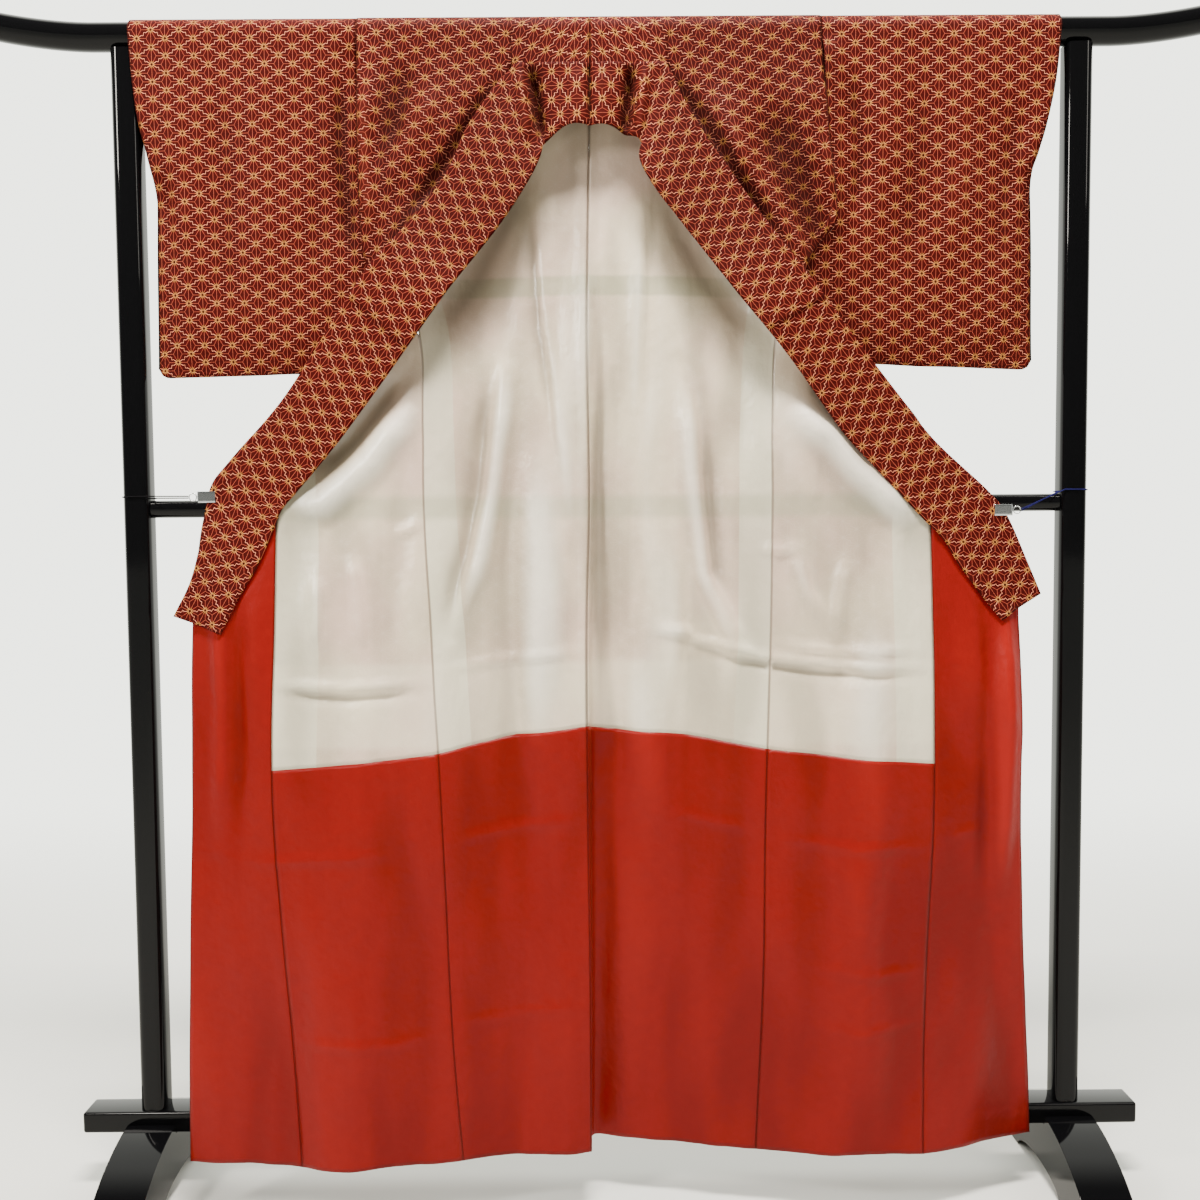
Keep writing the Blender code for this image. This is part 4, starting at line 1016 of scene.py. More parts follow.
class Sums:
    """Short ways to set sums and blends in a node tree."""

    def __init__(self, tree):
        self.tree = tree

    def put(self, kind, **settings):
        """Adds a node and sets its plain settings."""
        node = self.tree.nodes.new(kind)
        for name, value in settings.items():
            setattr(node, name, value)
        return node

    def feed(self, socket, value):
        """Links a socket to a value, or sets the value on it."""
        if isinstance(value, bpy.types.NodeSocket):
            self.tree.links.new(value, socket)
        else:
            socket.default_value = value

    def do(self, operation, *values):
        """One sum."""
        node = self.put("ShaderNodeMath", operation=operation)
        for socket, value in zip(node.inputs, values):
            self.feed(socket, value)
        return node.outputs[0]

    def line(self, distance, half, soft=0.00018):
        """1 on a line and 0 away from it, soft at its edge."""
        node = self.put("ShaderNodeMapRange", interpolation_type="SMOOTHSTEP")
        self.feed(node.inputs["Value"], distance)
        self.feed(node.inputs["From Min"], half - soft)
        self.feed(node.inputs["From Max"], half + soft)
        self.feed(node.inputs["To Min"], 1.0)
        self.feed(node.inputs["To Max"], 0.0)
        return node.outputs["Result"]

    def rise(self, value, low, high):
        """0 below low, 1 above high, smooth between."""
        node = self.put("ShaderNodeMapRange", interpolation_type="SMOOTHSTEP")
        self.feed(node.inputs["Value"], value)
        self.feed(node.inputs["From Min"], low)
        self.feed(node.inputs["From Max"], high)
        return node.outputs["Result"]

    def parts(self, place):
        """The three parts of a place."""
        node = self.put("ShaderNodeSeparateXYZ")
        self.feed(node.inputs[0], place)
        return node.outputs

    def off_line(self, x, y, way_x, way_y):
        """How far a place is from the line that runs a way through nought."""
        return self.do(
            "ABSOLUTE", self.do("SUBTRACT", self.do("MULTIPLY", x, way_y), self.do("MULTIPLY", y, way_x))
        )

    def tinge(self, colour, where, amount, shade):
        """A colour moved part of the way to a shade where a value says so."""
        return self.blend(self.do("MULTIPLY", where, amount), colour, ink(*shade))

    def blend(self, share, first, second):
        """A blend of two colours."""
        node = self.put("ShaderNodeMix", data_type="RGBA")
        self.feed(node.inputs[0], share)
        self.feed(node.inputs[6], first)
        self.feed(node.inputs[7], second)
        return node.outputs[2]

    def noise(self, place, scale, detail=2.0, stretch=(1.0, 1.0, 1.0)):
        """A grain that is the same size everywhere."""
        spread = self.put("ShaderNodeVectorMath", operation="MULTIPLY")
        self.feed(spread.inputs[0], place)
        spread.inputs[1].default_value = stretch
        node = self.put("ShaderNodeTexNoise")
        self.feed(node.inputs["Vector"], spread.outputs[0])
        node.inputs["Scale"].default_value = scale
        node.inputs["Detail"].default_value = detail
        return node.outputs[0]


def ink(*screen):
    """A colour written as it looks on a screen, as the light the renderer counts with."""
    shares = [c / 255 for c in screen]
    return (*[c / 12.92 if c <= 0.04045 else ((c + 0.055) / 1.055) ** 2.4 for c in shares], 1.0)


# The hemp leaf figure: the distance between columns of stars, and between the stars in a column.
COLUMN = 0.0189
STAR = 0.0225
# Half widths of its lines, the ties' waves, and the size of the star, its heart and the darker leaf.
RAY_HALF = 0.00019
RAY_SWELL = 0.00006
STUB_HALF = 0.00020
STUB_OVERLAP = 0.0004
UPRIGHT_HALF = 0.00022
TIE_HALF = 0.00034
TIE_WAVE = 0.0062
TIE_SWAY = 0.0014
STAR_R = 0.0044
STAR_SOFT = 0.0018
HEART_R = 0.0018
HEART_SOFT = 0.0003
LEAF_SLOPE = 0.30
LEAF_SOFT = 0.0008
LEAF_SHARE = 0.7
GROUND_RED = (50, 7, 5)
STAR_RED = (28, 4, 2)
STAR_HEART = (40, 12, 4)
LEAF_RED = (70, 11, 9)
FAR_RAY = (184, 86, 66)
NEAR_RAY = (246, 166, 88)
TIE_PINK = (246, 150, 120)


def hemp_leaf_group():
    """The hemp leaf figure: twelve rays from each star, and wavy ties between neighbouring stars."""
    tree = bpy.data.node_groups.new("hemp leaf", "ShaderNodeTree")
    tree.interface.new_socket("Place", in_out="INPUT", socket_type="NodeSocketVector")
    tree.interface.new_socket("Colour", in_out="OUTPUT", socket_type="NodeSocketColor")
    tree.interface.new_socket("Thread", in_out="OUTPUT", socket_type="NodeSocketFloat")
    given = tree.nodes.new("NodeGroupInput")
    result = tree.nodes.new("NodeGroupOutput")
    sums = Sums(tree)
    parts = sums.parts(given.outputs["Place"])

    # Every place is folded into one half leaf, with the star in its corner.
    across = sums.do("PINGPONG", sums.do("DIVIDE", parts[0], COLUMN), 1.0)
    up = sums.do("PINGPONG", sums.do("DIVIDE", parts[1], STAR), 0.5)
    far = sums.do("GREATER_THAN", sums.do("ADD", across, sums.do("MULTIPLY", up, 2.0)), 1.0)
    across = sums.do("ADD", across, sums.do("MULTIPLY", far, sums.do("MULTIPLY_ADD", across, -2.0, 1.0)))
    up = sums.do("ADD", up, sums.do("MULTIPLY", far, sums.do("MULTIPLY_ADD", up, -2.0, 0.5)))
    x = sums.do("MULTIPLY", across, COLUMN)
    y = sums.do("MULTIPLY", up, STAR)
    reach = sums.do("SQRT", sums.do("ADD", sums.do("MULTIPLY", x, x), sums.do("MULTIPLY", y, y)))
    near = sums.line(reach, STAR_R, STAR_SOFT)

    tie = hypot(COLUMN, STAR / 2)
    tie_x, tie_y = COLUMN / tie, STAR / 2 / tie
    along = sums.do("ADD", sums.do("MULTIPLY", x, tie_x), sums.do("MULTIPLY", y, tie_y))
    aside = sums.do("SUBTRACT", sums.do("MULTIPLY", y, tie_x), sums.do("MULTIPLY", x, tie_y))
    before = sums.do("MINIMUM", sums.do("SUBTRACT", tie / 2, along), TIE_WAVE / 2)
    wave = sums.do("SINE", sums.do("MULTIPLY", before, 2 * pi / TIE_WAVE))
    sway = sums.do("MULTIPLY", wave, -TIE_SWAY)
    tie_line = sums.line(sums.do("ABSOLUTE", sums.do("SUBTRACT", aside, sway)), TIE_HALF)

    ray = hypot(STAR / 2, COLUMN / 3)
    ray_x, ray_y = COLUMN / 3 / ray, STAR / 2 / ray
    turn_x = COLUMN * 2 / 3
    upright = sums.line(x, UPRIGHT_HALF)
    steep = sums.off_line(x, y, ray_x, ray_y)
    thick = sums.do("MULTIPLY_ADD", near, RAY_SWELL, RAY_HALF)
    steep_line = sums.line(sums.do("SUBTRACT", steep, thick), 0.0)
    level_on = sums.do("LESS_THAN", x, turn_x)
    level_line = sums.do("MULTIPLY", sums.line(sums.do("SUBTRACT", y, thick), 0.0), level_on)
    stub = sums.off_line(sums.do("SUBTRACT", x, turn_x), y, ray_x, ray_y)
    stub_on = sums.do("GREATER_THAN", x, turn_x - STUB_OVERLAP)
    stub_line = sums.do("MULTIPLY", sums.line(stub, STUB_HALF), stub_on)
    rays = upright
    for drawn_line in (steep_line, level_line, stub_line):
        rays = sums.do("MAXIMUM", rays, drawn_line)

    leaf = sums.line(sums.do("SUBTRACT", steep, sums.do("MULTIPLY", x, LEAF_SLOPE)), LEAF_SOFT, LEAF_SOFT)
    leaf = sums.do("MULTIPLY", leaf, sums.do("SUBTRACT", 1.0, near))
    ground = sums.blend(near, ink(*GROUND_RED), ink(*STAR_RED))
    ground = sums.tinge(ground, leaf, LEAF_SHARE, LEAF_RED)
    drawn = sums.blend(rays, ground, sums.blend(near, ink(*FAR_RAY), ink(*NEAR_RAY)))
    drawn = sums.blend(tie_line, drawn, sums.blend(near, ink(*TIE_PINK), ink(*NEAR_RAY)))
    drawn = sums.blend(sums.line(reach, HEART_R, HEART_SOFT), drawn, ink(*STAR_HEART))
    tree.links.new(drawn, result.inputs["Colour"])
    tree.links.new(sums.do("MAXIMUM", rays, tie_line), result.inputs["Thread"])
    return tree


def shader_of(name, **values):
    """A new material with its shader and its sums. Each value is set on the shader's input of that name."""
    found = bpy.data.materials.new(name)
    found.use_nodes = True
    shader = found.node_tree.nodes["Principled BSDF"]
    for socket, value in values.items():
        shader.inputs[SOCKETS[socket]].default_value = value
    return found, shader, Sums(found.node_tree)


SOCKETS = {
    "colour": "Base Color",
    "metallic": "Metallic",
    "roughness": "Roughness",
    "mirror": "Specular IOR Level",
    "sheen": "Sheen Weight",
    "sheen_roughness": "Sheen Roughness",
    "sheen_tint": "Sheen Tint",
}


def hemp_leaf(sums):
    """The hemp leaf figure laid on a piece's own cloth, as its colour and its thread."""
    tree = bpy.data.node_groups.get("hemp leaf") or hemp_leaf_group()
    group = sums.put("ShaderNodeGroup", node_tree=tree)
    sums.feed(group.inputs[0], map_of(sums, "cloth"))
    return group.outputs


def map_of(sums, name):
    """A map of the cloth, as a socket."""
    return sums.put("ShaderNodeUVMap", uv_map=name).outputs[0]


def stitches(sums, half, soft):
    """The distances from a piece's two seams, and the line of stitches along the nearer one."""
    seams = sums.parts(map_of(sums, "edge"))
    return seams, sums.line(sums.do("MINIMUM", seams[0], seams[1]), half, soft)


def grain(sums, place):
    """The height of the crepe weave and of the slow unevenness of the cloth."""
    return sums.noise(place, 900.0, 2.0, (1.0, 1.0, 0.6)), sums.noise(place, 70.0, 2.0)


def lining_height(sums, place, stitch, scale, amount):
    """The height of a lining silk: its weave, its crinkles and the pull of its stitches."""
    fine, slow = grain(sums, place)
    weave = sums.do("ADD", sums.do("MULTIPLY", fine, 0.6), sums.do("MULTIPLY", slow, 4.0))
    crinkle = sums.noise(place, scale, 3.0, (1.0, 1.0, 0.45))
    height = sums.do("ADD", weave, sums.do("MULTIPLY", crinkle, amount))
    return slow, sums.do("SUBTRACT", height, sums.do("MULTIPLY", stitch, STITCH_PULL))


def give_height(sums, shader, height, distance):
    """Sends a height into the surface's shading."""
    bump = sums.put("ShaderNodeBump")
    bump.inputs["Distance"].default_value = distance
    sums.feed(bump.inputs["Height"], height)
    sums.tree.links.new(bump.outputs[0], shader.inputs["Normal"])


def fold_shade(sums, colour, deep, bright, share, ridge_share):
    """Paints shade into a colour in the folds' troughs and a highlight on their ridges."""
    fold = sums.put("ShaderNodeAttribute", attribute_name="fold").outputs["Fac"]
    trough = sums.rise(sums.do("MULTIPLY", fold, -1.0), *TROUGHS)
    ridge = sums.do("MULTIPLY", sums.rise(fold, *RIDGES), ridge_share)
    return sums.blend(ridge, sums.tinge(colour, trough, share, deep), ink(*bright))


def object_place(sums):
    """The place in the scene, the same on every piece."""
    return sums.put("ShaderNodeTexCoord").outputs["Object"]


# How far back a fold starts to take painted shade and takes the most, how far forward it starts to take a
# painted highlight and takes the most, and how deep a line of stitches pulls.
TROUGHS = (0.0005, 0.010)
RIDGES = (0.001, 0.016)
STITCH_PULL = 3.0

# The painted shade on the fronts beside the collar: how far across, half width, softness, where it comes up, and
# its share.
PAINTED_FRONT_SHADE_X = 0.19
PAINTED_FRONT_SHADE_HALF = 0.115
PAINTED_FRONT_SHADE_SOFT = 0.03
PAINTED_FRONT_SHADE_RISE = (1.22, 1.34)
PAINTED_FRONT_SHADE_SHARE = 0.22


def komon_cloth(settings):
    """The patterned crepe of the garment's outside."""
    found, shader, sums = shader_of(
        "komon_cloth", roughness=settings.roughness, mirror=settings.gleam * 0.15,
        sheen=settings.sheen * 0.5, sheen_roughness=0.5, sheen_tint=ink(255, 190, 170),
    )
    place = object_place(sums)
    fine, slow = grain(sums, place)
    _, stitch = stitches(sums, 0.0010, 0.0008)
    colour = sums.tinge(hemp_leaf(sums)["Colour"], slow, 0.22, (88, 10, 8))
    colour = sums.tinge(colour, stitch, 0.7, (60, 6, 6))
    # Painted shade: the fronts beside the collar are darkened, from about 1.22 m upward.
    spot = sums.parts(place)
    side = sums.do("ABSOLUTE", sums.do("SUBTRACT", sums.do("ABSOLUTE", spot[0]), PAINTED_FRONT_SHADE_X))
    turned = sums.do("MULTIPLY", sums.line(side, PAINTED_FRONT_SHADE_HALF, PAINTED_FRONT_SHADE_SOFT), sums.rise(spot[2], *PAINTED_FRONT_SHADE_RISE))
    colour = sums.tinge(colour, turned, PAINTED_FRONT_SHADE_SHARE, (20, 2, 1))
    # Painted shade in the folds' troughs and a painted highlight on their ridges.
    sums.feed(shader.inputs["Base Color"], fold_shade(sums, colour, (24, 2, 1), (150, 60, 42), 0.55, 0.15))
    height = sums.do("ADD", fine, sums.do("MULTIPLY", slow, 3.0))
    height = sums.do("SUBTRACT", height, sums.do("MULTIPLY", stitch, STITCH_PULL))
    give_height(sums, shader, height, settings.weave)
    return found


PEARL = (216, 200, 172)
MAUVE = (206, 178, 160)
CLOUD = (150, 136, 116)
# The seam allowance that shows through beside the outer seam: how wide, how soft, its share and its colour.
ALLOWANCE_WIDTH = 0.055
ALLOWANCE_SOFT = 0.0010
ALLOWANCE_SHARE = 0.55
ALLOWANCE = (220, 218, 194)
# Bands across the lining, each as height, half depth, softness, share and colour: the tuck behind it, painted as
# the shade it makes where it keeps the light from behind off the cloth; the cross rail's painted shadow through
# the cloth; and the seam allowance that shows through lighter above the red.
LINING_BANDS = (
    (1.2572, 0.0135, 0.0030, 0.62, (150, 150, 122)),
    (0.9560, 0.0150, 0.0070, 0.50, (156, 156, 130)),
    (0.6900, 0.0560, 0.0060, 0.35, (232, 222, 196)),
)
# The painted shadow of the collar on the lining: how far under the collar's line it starts to fade and has
# faded, and how dark it is.
PAINTED_COLLAR_SHADOW = (0.045, 0.150)
PAINTED_COLLAR_SHADOW_SHARE = 0.55


def white_lining(settings):
    """The pearl white silk of the body's inside, with the figured cloth faintly behind it."""
    found, shader, sums = shader_of(
        "white_lining", roughness=settings.lining_roughness, mirror=settings.gleam * 2.5,
        sheen=settings.sheen,
    )
    place = object_place(sums)
    parts = sums.parts(place)
    seams, stitch = stitches(sums, 0.0015, 0.0010)
    wide = sums.noise(place, 6.0, 2.0)
    colour = sums.blend(sums.rise(wide, 0.35, 0.70), ink(*PEARL), ink(*MAUVE))
    clouded = sums.noise(place, 11.0, 3.0, (1.0, 1.0, 0.35))
    colour = sums.tinge(colour, sums.rise(clouded, 0.42, 0.66), 0.55, CLOUD)
    colour = sums.tinge(colour, hemp_leaf(sums)["Thread"], 0.10, (246, 240, 232))
    allowance = sums.line(seams[1], ALLOWANCE_WIDTH, ALLOWANCE_SOFT)
    colour = sums.tinge(colour, allowance, ALLOWANCE_SHARE, ALLOWANCE)
    # Painted shade: the tuck and the cross rail darken their bands; the lowest band is lighter.
    for middle, half, soft, share, shade in LINING_BANDS:
        gap = sums.do("ABSOLUTE", sums.do("SUBTRACT", parts[2], middle))
        colour = sums.tinge(colour, sums.line(gap, half, soft), share, shade)
    colour = sums.tinge(colour, stitch, 0.75, (104, 84, 70))
    # Painted shadow of the collar: the lining is darkened, unevenly, just under the collar's line.
    below = sums.do("MULTIPLY", sums.do("SUBTRACT", COLLAR_LINE_Z, parts[2]), COLLAR_LINE_DOWN)
    across = sums.do("SUBTRACT", sums.do("ABSOLUTE", parts[0]), COLLAR_LINE_X)
    free = sums.rise(sums.do("SUBTRACT", below, sums.do("MULTIPLY", across, COLLAR_LINE_ACROSS)), *PAINTED_COLLAR_SHADOW)
    painted_collar_shadow = sums.do("MULTIPLY", sums.do("SUBTRACT", 1.0, free), sums.do("MULTIPLY_ADD", clouded, 0.8, 0.35))
    colour = sums.tinge(colour, painted_collar_shadow, PAINTED_COLLAR_SHADOW_SHARE, (104, 92, 78))
    # Painted shade in the folds' troughs and a painted highlight on their ridges.
    colour = fold_shade(sums, colour, (112, 100, 84), (255, 250, 236), 0.62, 0.55)
    sums.feed(shader.inputs["Base Color"], colour)
    _, height = lining_height(sums, place, stitch, 24.0, 18.0)
    give_height(sums, shader, height, settings.weave)
    return found


def red_lining(settings):
    """The plain red silk at the hem and behind the overlap panels."""
    found, shader, sums = shader_of(
        "red_lining", roughness=settings.lining_roughness, mirror=settings.gleam * 0.35,
        sheen=settings.sheen, sheen_tint=ink(255, 150, 120),
    )
    place = object_place(sums)
    _, stitch = stitches(sums, 0.0008, 0.0007)
    slow, height = lining_height(sums, place, stitch, 20.0, 14.0)
    colour = sums.tinge(ink(122, 17, 14), slow, 0.5, (102, 12, 9))
    colour = sums.tinge(colour, hemp_leaf(sums)["Thread"], 0.05, (160, 30, 16))
    colour = sums.tinge(colour, stitch, 0.7, (90, 8, 6))
    # Painted shade in the folds' troughs and a painted highlight on their ridges.
    sums.feed(shader.inputs["Base Color"], fold_shade(sums, colour, (72, 6, 4), (158, 30, 24), 0.60, 0.50))
    give_height(sums, shader, height, settings.weave)
    return found


def black_lacquer(settings):
    """Deep black lacquer, rubbed to a gloss."""
    found, shader, sums = shader_of(
        "black_lacquer", colour=(0.0022, 0.0022, 0.0026, 1.0),
        roughness=settings.lacquer_roughness, mirror=0.14,
    )
    give_height(sums, shader, sums.noise(object_place(sums), 60.0, 2.0), 0.00002)
    return found


def bright_steel():
    """Bright plated spring steel."""
    return shader_of("bright_steel", colour=(0.62, 0.63, 0.64, 1.0), metallic=1.0, roughness=0.14)[0]


def cord_thread(name, colour):
    """The twisted thread of a thin cord."""
    found, shader, sums = shader_of(name, colour=colour, roughness=0.9, mirror=0.05)
    give_height(sums, shader, sums.noise(object_place(sums), 1600.0, 1.0), 0.0002)
    return found


FLOOR = (214, 213, 208)
# How far behind the stand the floor starts to fade into the room, and where it has.
FLOOR_FADE = (0.25, 2.6)


def floor_finish(settings):
    """Pale paper that fades into the light of the room."""
    found, shader, sums = shader_of("pale_floor", colour=ink(*FLOOR), roughness=0.6, mirror=0.1)
    glow = sums.put("ShaderNodeEmission")
    glow.inputs["Color"].default_value = (*settings.room[:], 1.0)
    glow.inputs["Strength"].default_value = 1.0
    mix = sums.put("ShaderNodeMixShader")
    sums.feed(mix.inputs[0], sums.rise(sums.parts(object_place(sums))[1], *FLOOR_FADE))
    sums.feed(mix.inputs[1], shader.outputs[0])
    sums.feed(mix.inputs[2], glow.outputs[0])
    sums.feed(found.node_tree.nodes["Material Output"].inputs["Surface"], mix.outputs[0])
    return found


@lru_cache(maxsize=None)
def finish(name):
    """The finish of a slot, made once."""
    scene = bpy.context.scene
    cloth, stand = scene.kimono_cloth, scene.kimono_stand
    makers = {
        "komon_cloth": lambda: komon_cloth(cloth),
        "white_lining": lambda: white_lining(cloth),
        "red_lining": lambda: red_lining(cloth),
        "black_lacquer": lambda: black_lacquer(stand),
        "bright_steel": bright_steel,
        "cord_left": lambda: cord_thread("cord_left", ink(16, 15, 17)),
        "cord_right": lambda: cord_thread("cord_right", ink(28, 26, 74)),
    }
    return makers[name]()


SIDES = ("left", "right")

# Each soft piece: its node, panels, finish slot, which face of the shared surface it lies on, flat width,
# length and flat area, and what it hangs on.
BODY_PIECES = tuple(
    entry
    for side in SIDES
    for entry in (
        (f"body_{side}", ("back_low", "back_high", "front_low", "front_high"), "komon_cloth", 1,
         (0.30, 3.06), 0.80, ("rail",)),
        (f"okumi_{side}", ("okumi",), "komon_cloth", 1, (0.15, 0.99), 0.135, (f"body_{side}",)),
        (f"lining_{side}", ("back_high", "front_high"), "white_lining", -1,
         (0.30, 1.95), 0.50, ("rail", f"body_{side}")),
        (f"hem_lining_back_{side}", ("back_low",), "red_lining", -1,
         (0.27, 0.575), 0.15, (f"lining_{side}",)),
        (f"hem_lining_front_{side}", ("front_low",), "red_lining", -1,
         (0.24, 0.54), 0.129, (f"lining_{side}",)),
        (f"okumi_lining_{side}", ("okumi",), "red_lining", -1, (0.15, 0.99), 0.135, (f"okumi_{side}",)),
    )
)


@lru_cache(maxsize=None)
def body_surface():
    """The body's shared surface, laid once for the pieces cut from it and for the collar on it."""
    return lay_body()


def lay_body_pieces():
    """Cuts the body, overlap panels and linings out of the body's surface."""
    body = body_surface()
    for node, panels, slot, face, flat, area, under in BODY_PIECES:
        side = node.rsplit("_", 1)[1]
        cloth = OUTER_CLOTH if face > 0 else LINING_CLOTH
        middle = face * (SEAM / 2 + cloth / 2)
        piece = body.piece(f"{node}_cloth", [f"{p}_{side}" for p in panels], middle, cloth, finish(slot))
        dress(piece, node, slot)
        list(under)


def lay_sleeve_pieces():
    """The two sleeves, hung over the rail."""
    for side in SIDES:
        surface = lay_sleeve(side)
        piece = surface.piece(f"sleeve_{side}_cloth", ["sleeve"], 0.0, OUTER_CLOTH, finish("komon_cloth"))
        dress(piece, f"sleeve_{side}", "komon_cloth")


def lay_collar_pieces():
    """The wide collar and the over-collar sewn on its middle."""
    collar = lay_collar(body_surface())
    over_parts = ["middle_left", "middle_neck", "middle_right"]
    parts = ["left_end", *over_parts, "right_end"]
    under = collar.piece("collar_cloth", parts, 0.0, COLLAR_CLOTH, finish("komon_cloth"))
    dress(under, "collar", "komon_cloth")
    way = COLLAR_CLOTH / 2 + SEAM + OVER_COLLAR_CLOTH / 2
    over = collar.piece("over_collar_cloth", over_parts, way, OVER_COLLAR_CLOTH, finish("komon_cloth"))
    dress(over, "over_collar", "komon_cloth")


def solid(name, bm, slot, sharp_degrees=35):
    """A hard piece of the stand, shaded smooth with its edges kept."""
    bmesh.ops.recalc_face_normals(bm, faces=bm.faces)
    obj = mesh_object(name, bm, finish(slot))
    obj.data.shade_smooth()
    obj.data.set_sharp_from_angle(angle=radians(sharp_degrees))
    return obj


def turned_bar(name, stations, slot):
    """A round bar turned over stations of (across, height, radius)."""
    bm = bmesh.new()
    last = len(stations) - 1
    bmesh.ops.create_grid(bm, x_segments=BAR_SIDES, y_segments=last, size=1.0)
    for vert in bm.verts:
        turn = pi * (vert.co.x + 1)
        x, z, radius = stations[round((vert.co.y + 1) / 2 * last)]
        vert.co = Vector((x, radius * cos(turn), z + radius * sin(turn)))
    bmesh.ops.remove_doubles(bm, verts=bm.verts, dist=SAME_POINT)
    return solid(name, bm, slot)


def rounded_end(x, outward, z, radius, edge):
    """Stations from a bar's flat end to its full thickness, over a rounded edge."""
    found = [(x, z, 0.0), (x, z, (radius - edge) * BAR_END_RING)]
    for k in range(BAR_END_STEPS + 1):
        turn = pi / 2 * k / BAR_END_STEPS
        found.append((x - outward * edge * (1 - cos(turn)), z, radius - edge * (1 - sin(turn))))
    return found


def make_rail(settings):
    """The top rail: a round bar whose ends turn up."""
    end = RAIL_HALF + RAIL_CAP
    lift = RAIL_LIFT + RAIL_CAP_LIFT
    left = rounded_end(-end, -1, RAIL_Z + lift, RAIL_R, settings.edge_rounding)
    right = rounded_end(end, 1, RAIL_Z + lift, RAIL_R, settings.edge_rounding)[::-1]
    middle = []
    for k in range(1, RAIL_STEPS):
        x = -RAIL_HALF + 2 * RAIL_HALF * k / RAIL_STEPS
        bend = max(0.0, (abs(x) - RAIL_STRAIGHT) / (RAIL_HALF - RAIL_STRAIGHT))
        middle.append((x, RAIL_Z + RAIL_LIFT * bend**RAIL_BEND_POWER, RAIL_R))
    rail = turned_bar("lacquered_rail", left + middle + right, "black_lacquer")
    dress(rail, "rail", "black_lacquer")


def rounded_box(name, low, high, rounding, segments, slot, upright_only=False):
    """A box between two corners with rounded edges."""
    bm = bmesh.new()
    size = [b - a for a, b in zip(low, high)]
    middle = [(a + b) / 2 for a, b in zip(low, high)]
    bmesh.ops.create_cube(bm, size=1.0, matrix=Matrix.Translation(middle) @ Matrix.Diagonal((*size, 1.0)))
    edges = [e for e in bm.edges if not upright_only or abs(e.verts[0].co.z - e.verts[1].co.z) > rounding]
    bmesh.ops.bevel(
        bm, geom=edges, offset=rounding, segments=segments, affect="EDGES", profile=0.5, material=-1
    )
    return solid(name, bm, slot, SHARP_DEGREES)


def make_posts():
    """The two posts, with well rounded corners."""
    half = POST_WIDTH / 2
    for side, x in (("left", -POST_X), ("right", POST_X)):
        post = rounded_box(
            f"lacquered_post_{side}",
            (x - half, -half, PLANK_HIGH + SEAM),
            (x + half, half, RAIL_Z - RAIL_R - SEAM),
            POST_ROUNDING, POST_ROUNDING_STEPS, "black_lacquer", upright_only=True,
        )
        dress(post, f"post_{side}", "black_lacquer")


def make_cross_rail():
    """The cross rail between the posts."""
    reach = POST_X - POST_WIDTH / 2 - SEAM
    stations = [(x, CROSS_RAIL_Z, r) for x, r in (
        (-reach, 0.0), (-reach, CROSS_RAIL_R), (0.0, CROSS_RAIL_R), (reach, CROSS_RAIL_R), (reach, 0.0)
    )]
    dress(turned_bar("lacquered_cross_rail", stations, "black_lacquer"), "cross_rail", "black_lacquer")


def make_plank(settings):
    """The base plank, with its edges softly rounded."""
    plank = rounded_box(
        "lacquered_plank",
        (-PLANK_LENGTH / 2, -PLANK_DEPTH / 2, PLANK_LOW),
        (PLANK_LENGTH / 2, PLANK_DEPTH / 2, PLANK_HIGH),
        settings.edge_rounding + ROUNDING_EXTRA, PLANK_ROUNDING_STEPS, "black_lacquer",
    )
    dress(plank, "base_plank", "black_lacquer")


def make_foot(side, x, settings):
    """One arched foot across the base plank, notched where the plank passes through it."""
    notch = PLANK_DEPTH / 2 + SEAM
    level = PLANK_LOW - SEAM

    def crest(y):
        return FOOT_CREST - (FOOT_RADIUS - sqrt(FOOT_RADIUS**2 - y * y))

    def arch(y):
        share = abs(y) / FOOT_RELIEF_HALF
        return FOOT_RELIEF_RISE * sqrt(1 - share * share) if share < 1 else 0.0

    bm = bmesh.new()
    spans = (
        (-FOOT_HALF, -notch, FOOT_STEPS, crest),
        (-notch, notch, FOOT_NOTCH_STEPS, lambda y: level),
        (notch, FOOT_HALF, FOOT_STEPS, crest),
    )
    for low, high, steps, top in spans:
        made = bmesh.ops.create_grid(bm, x_segments=steps, y_segments=FOOT_LAYERS, size=1.0)
        for vert in made["verts"]:
            y = low + (high - low) * (vert.co.x + 1) / 2
            share = (vert.co.y + 1) / 2
            floor, roof = arch(y), top(y)
            waist = min(roof, level)
            height = floor + (waist - floor) * min(share * 2, 1.0)
            if share > 0.5:
                height = waist + (roof - waist) * (share * 2 - 1)
            vert.co = Vector((x - FOOT_WIDTH / 2, y, height))
    bmesh.ops.remove_doubles(bm, verts=bm.verts, dist=SAME_POINT)
    bmesh.ops.dissolve_degenerate(bm, dist=SAME_POINT, edges=bm.edges)
    pushed = bmesh.ops.extrude_face_region(bm, geom=bm.faces[:])
    moved = [g for g in pushed["geom"] if isinstance(g, bmesh.types.BMVert)]
    bmesh.ops.translate(bm, verts=moved, vec=(FOOT_WIDTH, 0, 0))
    foot = solid(f"lacquered_foot_{side}", bm, "black_lacquer", 40)
    round_off = foot.modifiers.new("rounded", "BEVEL")
    round_off.width = settings.edge_rounding + ROUNDING_EXTRA
    round_off.segments = FOOT_ROUNDING_STEPS
    round_off.limit_method = "ANGLE"
    round_off.angle_limit = radians(SHARP_DEGREES)
    dress(foot, f"foot_{side}", "black_lacquer")


